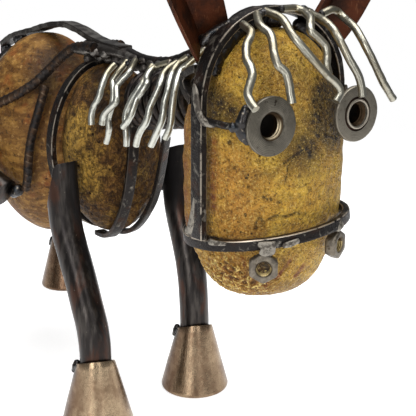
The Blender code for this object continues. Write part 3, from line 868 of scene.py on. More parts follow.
# Its pits as (x, z, radius).
HEAD_PITS = (
    (-21.6, 129.8, 1.0), (-24.8, 135.3, 0.7), (-27.6, 153.7, 0.8), (-24.8, 150.4, 0.7), (-24.2, 146.5, 0.8),
    (-1.6, 194.9, 0.8), (-0.6, 193.1, 0.7), (0.1, 191.2, 0.7), (-28.6, 163.4, 1.1), (2.0, 160.0, 0.7),
    (-8.0, 186.0, 0.7), (6.0, 186.0, 0.8), (-14.0, 140.0, 0.6), (-3.0, 146.0, 0.6), (5.0, 140.0, 0.6),
)
# Its painted shade, beside the crown strap, round the far eye and in the near nostril: places as (x, y, z),
# how far the darkness reaches from them, and how dark it is.
PAINTED_HEAD_SHADE = (
    (((-29.6, -93, 179), (-29, -97, 177), (-27.8, -101, 174.5), (-30.3, -95, 173)), 8.5, 1.25),
    ([(-32.6, -91, z) for z in range(124, 196, 3)], 4.0, 0.75),
    (((12, -114, 172), (16, -113, 166), (11, -115, 174), (18, -112, 178)), 13, 1.7),
    (((-17.4, -109.3, 112.3), (-18.7, -108.8, 113.7)), 4.5, 3.0),
)
# The line that the nose band shades, across the front of the head stone.
UNDER_BAND = (
    (-31.7, -86.9, 123.4), (-30.7, -95.3, 123.4), (-27, -103.2, 123.4), (-21.6, -108.9, 123.8),
    (-15, -113.1, 124.8), (-6.9, -115.8, 125.5), (3.3, -116.6, 126.2), (14.4, -114, 126.4), (24, -108, 127),
)
# Painted shade on the chest stone, under the bars and along the girth hoop, and on the rump stone under the
# breeching bars: places as (x, y, z) in millimetres.
CHEST_SHADE = (
    (-10, 26, 176), (-11, 22, 174), (-14, 19.5, 167), (-15, 15.5, 161), (-13, 12.5, 156),
    (-4, 9, 160), (-26, 36, 150), (-26.5, 37, 135), (-22, 37, 165), (-25, 36, 120),
)
RUMP_SHADE = (
    (-11.3, 72.9, 175.6), (-7.8, 72.5, 177), (-14, 71.5, 171.5), (-16.5, 70.8, 167), (-2, 74, 179),
)


def rounded_stone(node, name, grain):
    """A packed stone rounded off and given an even skin, fine enough to carve."""
    stone = merged_copy(node, name)
    modify(stone, "SUBSURF", levels=3)
    modify(stone, "DISPLACE", strength=0.45 * MM, mid_level=0.0)
    even_skin(stone, grain, 4)
    rough(stone, "CLOUDS", 24, settings("stones").swell / MM, 0.5)
    return stone


def note_hollows(stone, skin):
    """Store how deep every point has sunk below the skin, as a share of the deepest pit."""
    sunk = numpy.sqrt(((places(stone) - skin) ** 2).sum(axis=1))
    keep_value(stone, "hollow", sunk / settings("stones").pit_depth)


def zone(piece, name, weights):
    """A vertex group with these weights, for a modifier to work in."""
    group = piece.vertex_groups.new(name=name)
    for number, weight in enumerate(weights):
        if weight > 0.01:
            group.add([number], min(weight, 1.0), "REPLACE")
    return name


def carve_marks(stone, deep):
    """Cut the cracks and the pits into the front of the head stone."""
    marks = [(drawn(stone, corners), width, 0.45) for corners, width in HEAD_CRACKS]
    marks += [(drawn(stone, ((x, z), (x + 0.1, z))), radius * 1.1, 0.8) for x, z, radius in HEAD_PITS]
    cuts = [closeness(stone, points, width) * depth for points, width, depth in marks]
    push(stone, numpy.maximum.reduce(cuts), -deep)


def wrinkle(stone, share):
    """Fold the skin of the muzzle, and store where it sinks and where it rises."""
    plain = places(stone)
    outward = plain - plain.mean(axis=0)
    rough(stone, "MUSGRAVE", 2.3, 1.2, 0.6, zone(stone, "wrinkled", share),
          musgrave_type="RIDGED_MULTIFRACTAL")
    heave = ((places(stone) - plain) * outward).sum(axis=1)
    heave /= numpy.sqrt((outward ** 2).sum(axis=1)) * 0.42 * MM
    keep_value(stone, "groove", -heave)
    keep_value(stone, "ridge", heave)


def stain_and_shade_head(stone, wrinkled, crumbly):
    """Store where the head stone is stained and flushed, and where shade is painted on it: dark beside the
    straps, round the far eye, in the nostril and along the nose band, orange brown behind and beside the
    crown strap.
    """
    streaks = [closeness(stone, drawn(stone, corners), width * 1.8) * 1.5 for corners, width in HEAD_STREAKS]
    # Behind and beside the crown strap the orange brown is painted shade; the streaks and the wrinkled muzzle
    # are stains.
    behind_strap = near(stone, [(-34, -76, z) for z in range(126, 175, 12)], 14) * 1.2
    beside_strap = near(stone, [(-32.0, -95.2, z) for z in (163, 159, 155, 150, 145, 141, 137)], 3.4) * 1.2
    keep_value(stone, "stain_and_shade_tint", numpy.maximum.reduce([wrinkled * 0.8, *streaks, behind_strap, beside_strap]))
    keep_value(stone, "rosy", near(stone, ((-27, -106, 140), (-30, -100, 150), (-28, -103, 130)), 16) * 1.4)
    shades = [near(stone, spots, reach) * dark for spots, reach, dark in PAINTED_HEAD_SHADE]
    # Painted shade along the top of the nose band.
    under_band = closeness(stone, smooth([at(*spot) for spot in UNDER_BAND], 0.8), 2.0) * 2.2
    keep_value(stone, "shade", numpy.maximum.reduce([*shades, under_band]) + 1.25 * crumbly)


def make_head_stone():
    deep = settings("stones").pit_depth / MM
    stone = rounded_stone("head_stone", "head_pebble", 0.62)
    push(stone, near(stone, [(-31, -74, z) for z in range(128, 165, 12)], 17) ** 0.7, 2.6)
    push(stone, near(stone, [(30, -104, z) for z in (124, 136, 148, 160, 170)], 18) ** 0.7, 1.9)
    skin = places(stone)
    wrinkled = near(stone, ((-26, -97, 110), (-21, -104, 105), (-25, -90, 106)), 19)
    crumbly = near(stone, ((4, -116, 168), (-3, -117, 160), (9, -115, 176)), 15)
    rough(stone, "CLOUDS", 2.1, 0.5, 1.0, noise_depth=2)
    rough(stone, "VORONOI", 5.6, deep * 0.9, 1.0, stops=((0.01, 0), (0.09, 1)))
    rough(stone, "VORONOI", 3.1, deep * 0.5, 1.0, zone(stone, "crumbly", numpy.maximum(crumbly, 0.3)),
          stops=((0.04, 0), (0.20, 1)))
    carve_marks(stone, deep)
    note_hollows(stone, skin)
    wrinkle(stone, wrinkled)
    stain_and_shade_head(stone, wrinkled, crumbly)
    finished(stone, "gold_stone", ["head_stone"], finish_of(gold_stone), angle=180)


def make_body_stones():
    deep = settings("stones").pit_depth / MM
    chest = rounded_stone("chest_stone", "chest_pebble", 0.75)
    skin = places(chest)
    rough(chest, "CLOUDS", 3.2, 0.8, 0.7, noise_depth=3)
    rough(chest, "VORONOI", 4.4, deep, 1.0, stops=((0.02, 0), (0.14, 1)))
    note_hollows(chest, skin)
    keep_value(chest, "golden", near(chest, ((-24, 24, 148), (-26, 28, 138), (-24, 22, 128)), 17) * 1.3)
    # Painted shade under the bars.
    keep_value(chest, "painted_shade", near(chest, CHEST_SHADE, 9))
    finished(chest, "speckled_stone", ["chest_stone"], finish_of(speckled_stone), angle=180)
    rump = rounded_stone("rump_stone", "rump_pebble", 0.95)
    skin = places(rump)
    rough(rump, "CLOUDS", 2.6, 0.2, 1.0, noise_depth=2)
    rough(rump, "VORONOI", 7.5, deep * 0.8, 1.0, stops=((0.03, 0), (0.10, 1)))
    note_hollows(rump, skin)
    # Painted shade under the breeching bars.
    keep_value(rump, "painted_shade", near(rump, RUMP_SHADE, 15) * 1.3)
    finished(rump, "brown_stone", ["rump_stone"], finish_of(brown_stone), angle=180)


# ----------------------------------------------------------------------------------- straps
def strap_with_wear_and_highlights(node, name, dents=0.3, edge=("dull_edge", 0.2), brightened=None, greyed=None,
               face_finish=(black_steel, "scuffed_steel", 0.04)):
    """A strap with its bend evened out, its corners rubbed round and its faces a little dented.

    Of a face's place and normal, the test for corners tells which are bright and the test for faces which are
    grey.
    Bright corners are worn steel, on the nose band's top a painted highlight; the spine's grey upper faces
    are a painted sheen.
    """
    strap = merged_copy(node, name)
    dress(strap, finish_of(black_steel), finish_of(edge_wear_and_highlight, *edge), finish_of(*face_finish))
    sharpen(strap)
    modify(strap, "SUBSURF", levels=2)
    soften(strap, settings("steel").edge_width, 48, material=1)
    for face in strap.data.polygons:
        if face.material_index == 1 and brightened and not brightened(face.center, face.normal):
            face.material_index = 0
        elif face.material_index == 0 and greyed and greyed(face.center, face.normal):
            face.material_index = 2
    rough(strap, "CLOUDS", 6, dents)
    finished(strap, "black_steel", [node])


def make_body_straps():
    # The spine's upper and side faces take the smooth steel: painted sheen where the overhead light falls;
    # only its underside stays black.
    strap_with_wear_and_highlights("spine_bar", "spine_strap", dents=0.7, edge=("scaled_edge", 0.05), face_finish=(smooth_steel,),
               greyed=lambda place, normal: normal.z > -0.3)
    for node in ("girth_hoop", "rump_hoop"):
        strap_with_wear_and_highlights(node, f"{node}_strap", edge=("rubbed_edge", 0.5),
                   brightened=lambda place, normal: normal.y < 0)
    for side_name in SIDES:
        strap_with_wear_and_highlights(f"breast_strap_{side_name}", f"breast_band_{side_name}", edge=("scaled_edge", 0.05),
                   greyed=lambda place, normal: place.z > 145 * MM)


def make_head_straps():
    strap_with_wear_and_highlights("crown_strap", "crown_band", dents=0.45, edge=("rubbed_edge", 0.5))
    # Its upward corners are all bright: a painted highlight where the overhead light falls; its grey faces
    # are wear.
    strap_with_wear_and_highlights("nose_band", "nose_hoop", dents=0.4, edge=("bright_edge", 1.0),
               brightened=lambda place, normal: normal.z > 0.2,
               greyed=lambda place, normal: place.x * normal.x < 0)
    for side_name in SIDES:
        strap_with_wear_and_highlights(f"cheek_hook_{side_name}", f"cheek_loop_{side_name}")


# ------------------------------------------------------------------------------ neck and mane
def black_bar(node, name, diameter, dents, step=1.2, sides=16):
    """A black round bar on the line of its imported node, a little uneven; sizes in millimetres."""
    piece = bar(name, smooth(centre_line(node), step), diameter * MM, sides)
    rough(piece, "CLOUDS", 3.5, dents)
    finished(piece, "black_steel", [node], finish_of(black_steel))


def make_neck():
    """The spring, wound between the ends of its packed coil, and the crest bar over it."""
    thickness, packed_thickness, turns, steps = 4.2, 4.4, 9, 30
    across = Vector((1, 0, 0))
    line = centre_line("neck_coil")
    low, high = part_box("neck_coil")
    radius = (high.x - low.x) / 2 - packed_thickness / 2 * MM
    start, end = line[0] - across * radius, line[-1] - across * radius
    upward = across.cross((end - start).normalized())
    coil = []
    for step in range(turns * steps + 1):
        turn = 2 * math.pi * step / steps
        spoke = across * math.cos(turn) + upward * math.sin(turn)
        coil.append(start.lerp(end, step / (turns * steps)) + spoke * radius)
    spring = bar("neck_spring", coil, thickness * MM, 12)
    rough(spring, "CLOUDS", 3.5, 0.12)
    finished(spring, "spring_steel", ["neck_coil"], finish_of(spring_steel))
    black_bar("crest_bar", "crest_rod", 4.6, 0.6)


def nicked_wire(node, name, rooted, diameter=0.0, *kind):
    """A crimped wire with flats and nicks from the pliers, soiled at its root."""
    line = smooth(centre_line(node), 0.55)
    wire = bar(name, line, diameter or settings("steel").wire, 14)
    rough(wire, "CLOUDS", 3.4, 0.26, 0.5, noise_depth=1)
    rough(wire, "VORONOI", 4.5, 0.16, 1.0, stops=((0.04, 0), (0.20, 1)))
    keep_value(wire, "root", rooted * closeness(wire, line[:max(2, len(line) // 5)], 5))
    finished(wire, "zinc_wire", [node], finish_of(zinc_wire, *kind))


def make_mane():
    for lock in FORELOCK:
        nicked_wire(f"forelock_wire_{lock}", f"forelock_{lock}", 0.35)
    for lock in MANE:
        # The mane wires are a lighter copy of the zinc, with a painted highlight.
        nicked_wire(f"mane_wire_{lock}", f"mane_{lock}", 0.9, settings("steel").hair, "bright_wire", 0.32)


# ------------------------------------------------------------------------------------- nuts
# The front faces of the eyes as (radius, height) in millimetres, from the bore out to the flange:
# a small chamfer on the right one, a raised ring in a groove on the left one.
EYE_FACES = {
    RIGHT: [(5.35, -0.5), (5.55, -0.05), (5.8, 0.08), (7.4, 0.06), (10.2, 0.0)],
    LEFT: [(4.95, -0.3), (5.05, 0.3), (5.45, 0.55), (5.9, 0.35), (6.1, -0.5), (6.6, -0.6), (6.9, 0.0),
           (10.3, 0.0)],
}
EYE_BORES = {RIGHT: 5.3, LEFT: 4.85}
EYE_TURNS = {RIGHT: math.radians(-5), LEFT: math.radians(-3)}
NOSTRIL_TURNS = {RIGHT: math.radians(-38), LEFT: math.radians(18)}
FLANGE_RADIUS, FLANGE_THICKNESS, COLLAR_BACK = 11.1, 2.2, -5.2
NOSTRIL_DEPTH = 4.5
THREAD_DEPTH = 0.55  # as a share of the pitch


def threads(radius, start, end, pitch):
    """A threaded wall as (radius, height) steps from start down to end."""
    steps = []
    height = start
    while height - pitch > end:
        steps += [(radius, height), (radius - THREAD_DEPTH * pitch, height - pitch / 2)]
        height -= pitch
    return [*steps, (radius, end)]


def facing(place, turn):
    """The frame of a nut's front face: its z axis looks forward, turned about the upright."""
    return Matrix.Translation(place) @ Matrix.Rotation(turn, 4, "Z") @ Matrix.Rotation(math.pi / 2, 4, "X")


def hexagon(name, flats, front, back, bore, soft=0.4):
    """A hexagon nut body from front to back with softened corners and a round hole."""
    release()
    middle = (0, 0, (front + back) / 2 * MM)
    bpy.ops.mesh.primitive_cylinder_add(vertices=6, radius=flats / 2 / math.cos(math.pi / 6) * MM,
                                        depth=(front - back) * MM, location=middle)
    piece = named(bpy.context.object, name)
    bpy.ops.object.transform_apply()
    soften(piece, soft * MM, 30, segments=3)
    release()
    bpy.ops.mesh.primitive_cylinder_add(vertices=48, radius=bore / 2 * MM, depth=(front - back + 4) * MM,
                                        location=middle)
    drill = bpy.context.object
    modify(piece, "BOOLEAN", object=drill, operation="DIFFERENCE", solver="EXACT")
    bpy.data.objects.remove(drill)
    return piece


def turned_eye(side_name, side):
    """An eye at the origin: a blind threaded bore whose floor is painted black as shade, its face, the flange
    and the hexagon behind it.
    """
    floor = [(0, -4.6), (2.0, -4.6), (3.9, -4.55)]
    wall = threads(EYE_BORES[side], -0.7, -4.5, 1.45)[::-1]
    rim = [(10.85, -0.12), (FLANGE_RADIUS, -0.5), (FLANGE_RADIUS, -1.5), (11.0, -1.9),
           (10.6, -FLANGE_THICKNESS)]
    back = [(6.9, -FLANGE_THICKNESS), (6.95, COLLAR_BACK), (0, COLLAR_BACK - 0.05)]
    eye = turned(f"eye_nut_{side_name}", [*floor, *wall, *EYE_FACES[side], *rim, *back], 96)
    return joined(f"eye_{side_name}", eye, hexagon("collar", 15.0, -2.1, COLLAR_BACK, 13.7))


def mark_eye(eye, side):
    """Store where an eye has painted shade in its bore and on its floor, where its threads carry a painted
    highlight, where its ring shines and where its groove is rusty.
    """
    bore = EYE_BORES[side]
    crest = bore - 0.95
    x, y, z = places(eye).T / MM
    out = numpy.hypot(x, y)
    inside = (out < bore + 0.04) & (z < -0.45) & (z > -4.8)
    # How squarely each thread crest faces the light, for its painted highlight.
    lit = numpy.clip(1.6 * numpy.cos(numpy.arctan2(y, x) + 0.9), 0, 1)
    keep_value(eye, "bore", inside * 0.97)
    keep_value(eye, "shade_floor", (out < crest) & (z > -5))
    keep_value(eye, "thread", inside * (out > crest) * (out < bore - 0.5) * lit * (side == RIGHT))
    keep_value(eye, "polish", (out > 4.98) & (out < 5.95) & (z > 0.2))
    keep_value(eye, "rusty", (out > 5.95) & (out < 6.7) & (z < -0.4) & (z > -1))


def make_eyes():
    for side_name, side in SIDES.items():
        node = f"eye_nut_{side_name}"
        eye = turned_eye(side_name, side)
        mark_eye(eye, side)
        low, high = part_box(node)
        slant = math.sin(EYE_TURNS[side])
        seat = Vector(((low.x + high.x) / 2 + FLANGE_THICKNESS / 2 * MM * slant,
                       low.y + FLANGE_RADIUS * MM * abs(slant), (low.z + high.z) / 2))
        settle(eye, facing(seat, EYE_TURNS[side]))
        rough(eye, "CLOUDS", 3.0, 0.2)
        steel = finish_of(nut_steel, side_name, tuple(seat), 0.1 if side == RIGHT else 0.7)
        finished(eye, "nut_steel", [node], steel, angle=35)
        black_bar(f"eye_stalk_{side_name}", f"eye_rod_{side_name}", 2.7, 0.5, 0.8, 12)


def make_nostrils():
    for side_name, side in SIDES.items():
        node = f"nostril_nut_{side_name}"
        turn = NOSTRIL_TURNS[side]
        body = hexagon("body", 11.0, 0.0, -NOSTRIL_DEPTH, 6.9, 1.0)
        wall = threads(3.15, -0.4, -4.3, 0.8)
        sleeve = turned("sleeve", [(3.6, -0.25), (3.3, -0.15), *wall, (3.6, -4.35), (3.6, -0.25)], 48)
        nut = joined(f"nostril_{side_name}", body, sleeve)
        x, y, z = places(nut).T / MM
        out = numpy.hypot(x, y)
        # Painted shade deepening into the bore, and a painted highlight on one side of its threads.
        keep_value(nut, "bore", (out < 3.5) * numpy.clip(-z, 0, 1))
        keep_value(nut, "thread", (out < 3.0) * (y < 0.5))
        low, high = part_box(node)
        outward = Vector((math.sin(turn), -math.cos(turn), 0))
        settle(nut, facing((low + high) / 2 + outward * NOSTRIL_DEPTH / 2 * MM, turn))
        rough(nut, "CLOUDS", 2.4, 0.25)
        finished(nut, "zinc_nut", [node], finish_of(zinc_nut), angle=35)


# ------------------------------------------------------------------------- ears, legs and hoofs
LEG_DIAMETER = 16
HOOF_LEAN = (-0.18, -0.40)  # how far the top of a hoof rises for each millimetre to the left and back


def make_ears():
    for side_name in SIDES:
        ear = merged_copy(f"ear_{side_name}", f"ear_leaf_{side_name}")
        dress(ear, finish_of(rusted_sheet), finish_of(bare_edge))
        sharpen(ear, 32)
        modify(ear, "SUBSURF", levels=3)
        soften(ear, 0.3 * MM, 60, material=1)
        rough(ear, "CLOUDS", 14, 0.9)
        finished(ear, "rusted_sheet", [f"ear_{side_name}"])


def scarf(piece, place, normal):
    """Saw a bar's end off at a slant; the normal points to the side that falls away."""
    edit(piece)
    bpy.ops.mesh.bisect(plane_co=place, plane_no=normal, clear_outer=True, use_fill=True)
    release()


def make_legs():
    """The leg bars: both front ones are sawn at a slant under the chest, the right one at its side too."""
    for end, side_name, side in LIMBS:
        node = f"{end}_leg_{side_name}"
        leg = bar(f"{end}_shank_{side_name}", smooth(centre_line(node), 2.0), LEG_DIAMETER * MM, 40)
        if end == "front":
            scarf(leg, at(side * 28.0, 18.7, 134.0), Vector((side * 0.024, 0.359, 0.933)))
        if node == "front_leg_right":
            scarf(leg, at(-42.6, 22.9, 114.5), Vector((-0.714, 0.651, 0.258)))
        soften(leg, 0.6 * MM, 50)
        rough(leg, "CLOUDS", 9, 0.3)
        # Darker and duller towards the top of the front legs, under the chest.
        darkened_top = near(leg, [(side * 27, 18, z) for z in range(110, 135, 6)], 15)
        keep_value(leg, "darkened_top", darkened_top * (end == "front"))
        finished(leg, "leg_steel", [node], finish_of(leg_steel))


def make_hoofs():
    """Turned cones with a socket, burnt beside the leg and browned, the hind ones all over."""
    top, top_radius, foot, foot_radius = 34.6, 9.95, 2.0, 18.5
    slopes = [step / 12 for step in range(13)]
    wall = [(top_radius + (foot_radius - top_radius) * slope, top + (foot - top) * slope) for slope in slopes]
    profile = [(0, 29.0), (8.9, 29.0), (8.9, 34.7), (9.1, 35.0), (9.7, 35.0), *wall,
               (18.7, 1.3), (18.45, 0.4), (17.6, 0.0), (0, 0.0)]
    for end, side_name, side in LIMBS:
        node = f"{end}_hoof_{side_name}"
        low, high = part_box(node)
        centre = (low + high) / 2
        hoof = turned(f"{end}_foot_{side_name}", profile, 72)
        settle(hoof, Matrix.Translation((centre.x, centre.y, 0)))
        spots = places(hoof)
        share = numpy.clip(spots[:, 2] / MM - 15, 0, 20) / 20
        spots[:, 2] += share * ((spots[:, :2] - numpy.array(centre.xy)) * HOOF_LEAN).sum(axis=1)
        hoof.data.vertices.foreach_set("co", spots.ravel())
        burn = Vector((centre.x - 8.5 * MM, centre.y + 6.5 * MM, 31 * MM))
        keep_value(hoof, "scorch", 1.6 * closeness(hoof, [burn], 8))
        bloom = [Vector((centre.x - 18 * MM, centre.y + 4 * MM, z * MM)) for z in range(4, 29, 8)]
        gloom = 0.9 if end == "hind" else 0.4 if side == LEFT else 0.0
        keep_value(hoof, "browned", numpy.maximum(closeness(hoof, bloom, 15) * 1.3, gloom))
        finished(hoof, "hoof_steel", [node], finish_of(hoof_steel), angle=35)


# -------------------------------------------------------------------------- harness and tail
def ribbed_bar(node, name, diameter):
    """Reinforcing bar: slanted crescent ribs on either side and a plain rib along each edge."""
    step, pitch, rise = 0.5, 3.7, settings("steel").rib
    rib_width, edge_width = 0.20, 0.32  # half of a rib's width, as a share of the pitch and as an angle
    across = Vector((0.2, 0.9, 0.35))
    line = smooth(centre_line(node), step)
    piece = bar(name, line, diameter * MM - 1.4 * rise, 20)
    spots, middle = places(piece), numpy.array(line)
    ribs = []
    for spot in spots:
        number = int(((middle - spot) ** 2).sum(axis=1).argmin())
        along = (line[min(number + 1, len(line) - 1)] - line[max(number - 1, 0)]).normalized()
        side = along.cross(across).normalized()
        out = Vector(spot) - line[number]
        turn = math.atan2(out.dot(along.cross(side)), out.dot(side))
        phase = (number * step / pitch + 0.5 * abs(turn) / math.pi) % 1.0
        crescent = max(0.0, 1.0 - abs(phase - 0.5) / rib_width) * min(1.0, 1.5 * abs(math.sin(turn)))
        ridge = max(0.0, 1.0 - min(abs(turn), math.pi - abs(turn)) / edge_width)
        ribs.append(min(1.0, max(1.3 * crescent, 0.8 * ridge)))
    push(piece, ribs, rise / MM)
    keep_value(piece, "rib", ribs)
    rough(piece, "CLOUDS", 2.5, 0.3)
    finished(piece, "rebar_steel", [node], finish_of(ribbed_steel), angle=60)


def make_harness():
    for side_name in SIDES:
        ribbed_bar(f"breeching_{side_name}", f"breech_bar_{side_name}", 5.4)
        ribbed_bar(f"flank_bar_{side_name}", f"thigh_bar_{side_name}", 4.9)


def make_tail():
    black_bar("tail_bar", "tail_rod", 5.0, 0.4)
    for number in TAIL:
        nicked_wire(f"tail_wire_{number}", f"tail_{number}", 1.0)


# ------------------------------------------------------------------------------------- welds
def mirrored(flat, drops):
    """The same drops of weld on the right and on the left, for drops given on the left."""
    return [(flat, [(side * x, y, z, radius) for x, y, z, radius in drops]) for side in (RIGHT, LEFT)]


# Weld metal, and among the dark drops black fillers that are painted shade: how far each is flattened along
# x, y and z, and its drops as (x, y, z, radius) in millimetres.
PALE_WELDS = (
    ((0.4, 1, 1), ((-38.3, -91.9, 141, 1.2), (-38.3, -91.4, 137.6, 1.7), (-38.3, -90.8, 134, 2.2),
                   (-38.1, -90.0, 130.4, 2.8), (-37.7, -88.6, 127.0, 3.2), (-37.3, -92.6, 127.0, 2.6),
                   (-36.9, -85.4, 126.0, 2.2))),
    ((0.55, 0.8, 0.8), ((-35.9, -99.0, 124.6, 2.2), (-35.2, -101.5, 124.6, 2.0), (-33.6, -105, 125.0, 1.6))),
    ((0.9, 0.4, 0.8), ((-15.7, -119.4, 124.4, 2.0), (-13.4, -120.3, 124.8, 2.4),
                       (-10.8, -121.2, 125.6, 2.0))),
    ((1, 0.5, 1), ((-24.9, -115.6, 125.6, 1.7), (-22.7, -117.0, 125.4, 1.8), (-20.5, -118.4, 125.6, 1.7),
                   (-20.8, -118.2, 122.6, 1.8), (-22.5, -117.2, 122.0, 2.2), (-24.3, -116.0, 122.6, 1.8))),
    ((1, 0.8, 1), ((12.2, -120.4, 126.2, 2.1), (15.0, -119.4, 126.6, 2.0), (13.5, -119.8, 128.4, 1.9))),
    ((0.45, 1, 1), ((-38.5, -92.6, 184.4, 1.5), (-38.5, -93.3, 182, 2.2), (-38.5, -93.8, 179, 2.6),
                    (-38.4, -94.5, 176, 2.4), (-38.2, -95.8, 173.4, 2.4), (-37.8, -97.4, 171.6, 2.2),
                    (-37.2, -99.6, 171.0, 1.8), (-36.4, -101.8, 171.0, 1.6))),
    ((0.8, 0.8, 1), ((38.8, -96.6, 178, 1.6), (38.4, -97.2, 174.5, 2.0), (37.6, -98.4, 171.6, 2.0))),
    ((0.6, 1, 1), ((39.2, -93.4, 135, 1.8), (39.0, -92.6, 131.6, 2.6), (38.2, -90.5, 129.4, 2.8))),
    ((1, 0.7, 1), ((-4.6, 4.6, 153.6, 1.6), (-1.9, 3.4, 156.0, 2.2), (1.4, 5.4, 154.2, 1.7),
                   (-2.6, 3.0, 152.2, 1.6))),
    ((1, 1, 0.7), ((-5.2, 37.6, 88.4, 2.6), (-5.4, 34.4, 88.2, 1.9), (4.9, 37.6, 88.4, 2.4))),
    ((1, 0.6, 1), ((-7.4, 12.8, 101.6, 1.8), (-7.6, 14.2, 99.2, 2.2))),
)
DARK_WELDS_AND_SHADE = (
    ((1, 1, 1), ((-33.4, -116.4, 178.4, 1.5), (-34.3, -116.0, 176.0, 1.9), (-34.9, -115.6, 173.6, 2.2),
                 (-34.8, -115.4, 171.0, 2.3), (-34.0, -115.8, 168.6, 1.9), (-32.8, -116.3, 166.4, 1.4),
                 (-36.4, -112.8, 171.6, 1.8))),
    ((1, 1, 1), ((29.4, -117.2, 171.0, 2.2), (29.8, -116.8, 174.0, 1.8), (29.6, -116.9, 168.0, 1.8))),
    ((1, 1, 0.7), ((-30.4, -88.0, 199.4, 1.7), (-28.4, -87.0, 201.2, 2.0), (-26.0, -86.5, 202.6, 2.0),
                   (-23.4, -88.5, 204.8, 1.9), (-20.8, -90.5, 206.6, 1.7), (-27.6, -84.0, 200.8, 2.2),
                   (-26.2, -81.0, 199.8, 2.0))),
    ((1, 1, 1), ((33.0, -84.0, 199.6, 2.5), (32.6, -87.0, 198.2, 2.6), (31.6, -90.0, 197.6, 2.5),
                 (29.8, -91.6, 199.8, 2.2), (33.8, -81.4, 200.2, 2.2), (20.8, -92.4, 208.6, 1.9),
                 (18.6, -92.6, 209.6, 1.6))),
    *mirrored((1, 1, 1), ((33.5, 75.6, 108.6, 3.4), (34.4, 79.0, 106.6, 2.8))),
    ((1, 1, 1), ((0, 132.5, 184.6, 3.4), (0, 128.0, 186.6, 3.0), (0, 151.0, 179.0, 3.2),
                 (0, 152.6, 175.6, 2.6))),
    *mirrored((1, 1, 1), ((31.0, 28.6, 111.0, 3.2), (29.0, 32.0, 111.5, 3.2), (27.2, 35.4, 112.0, 3.0),
                          (26.0, 38.4, 112.5, 2.8))),
    # Black drops in the gap at the far end of the nose band: painted shade for the band's shaded inner face.
    ((0.8, 1, 1.2), ((34.0, -99.6, 125.4, 2.2), (34.5, -96.6, 124.8, 2.4), (34.8, -93.0, 125.8, 2.4))),
    ((0.7, 1, 1), ((36.0, -93.0, 131.6, 1.9), (36.2, -89.0, 132.0, 2.0), (35.4, -96.5, 130.8, 1.8))),
    ((1, 1, 1), ((34.6, -96.0, 127.4, 2.2), (35.6, -92.0, 127.6, 2.4), (36.2, -87.0, 127.8, 2.4),
                 (35.6, -82.0, 127.4, 2.2))),
    ((1, 1, 1), ((0, -88.6, 207.6, 2.8), (0, -84.5, 205.2, 3.0), (0, -80.5, 203.8, 2.6))),
)
# The wide smooth plate where the spine, the bars of the haunches, the girth hoop and the crest meet.
YOKE = (
    ((1, 1, 0.55), ((0, 46, 187.6, 5.6), (0, 40, 187.0, 6.4), (0, 34, 186.4, 6.8), (0, 28, 186.2, 6.6),
                    (0, 22, 186.2, 5.8), (0, 16, 185.8, 5.0), (0, 10, 185.0, 4.2), (0, 4, 184.2, 3.8),
                    (0, -3, 183.6, 3.6), (0, -10, 183.0, 3.6), (0, -17, 183.4, 3.6), (0, -24, 184.4, 3.4),
                    (0, -31, 186.0, 3.2))),
    *mirrored((1, 1, 0.7), ((8, 46, 185.6, 3.4), (6.5, 40, 185.6, 3.8), (5.5, 33, 185.2, 3.8),
                            (4, 26, 184.6, 3.6))),
    ((1, 0.8, 1), ((-4.4, 42, 181.4, 3.4), (0, 42, 181.6, 3.8), (4.4, 42, 181.4, 3.4), (0, 36, 182.4, 3.8),
                   (0, 29, 182.4, 3.6))),
    ((1, 1, 1), ((0, 22, 182.6, 3.4), (0, 14, 182.0, 3.2), (0, 6, 181.0, 3.2), (0, -2, 180.2, 3.2),
                 (0, -9, 180.0, 3.2), (0, -16, 180.4, 3.2), (0, -23, 181.6, 3.0), (0, -29, 183.2, 2.8))),
)
# The drops on the rim of every hoof, as (to the left, back, z, radius) from the hoof's middle.
HOOF_WELD = ((-7.4, 6.0, 34.4, 1.7), (-8.2, 6.4, 32.6, 1.6), (-8.9, 7.0, 30.2, 1.2), (-9.0, 2.4, 34.2, 1.3))


def gap_filling():
    """Black drops that close the gap between the top of the head stone and the crown strap: painted shade, a
    dark filler where the gap lies in shade.
    """
    stone, strap = bpy.data.objects["head_pebble"], bpy.data.objects["crown_band"]
    drops = []
    for x in (-27, -24, -21, -18, -15, -12, -9, -6, 1, 4, 16, 19, 22, 25, 28, 30.5):
        found, floor, _normal, _face = stone.ray_cast(at(x, -91, 240), Vector((0, 0, -1)))
        struck, roof, _normal, _face = strap.ray_cast(floor, Vector((0, 0, 1)))
        if found and struck:
            middle, half = (floor + roof) / 2 / MM, (roof - floor).length / 2 / MM
            drops.append((middle.x, middle.y + HOOF_LINE, middle.z, min(half + 0.3, 3.4)))
            if half > 3.2:
                for height in (middle.z + half - 2.4, middle.z - half + 2.4):
                    drops.append((middle.x, middle.y + HOOF_LINE, height, 2.8))
    return drops


def root_drops(nodes, radius):
    """A drop at the root of every wire and one a little along it."""
    drops = []
    for node in nodes:
        first, second = centre_line(node)[:2]
        for place, size in ((first, radius), (first.lerp(second, 0.6), radius * 0.85)):
            drops.append((place.x / MM, place.y / MM + HOOF_LINE, place.z / MM, size))
    return drops


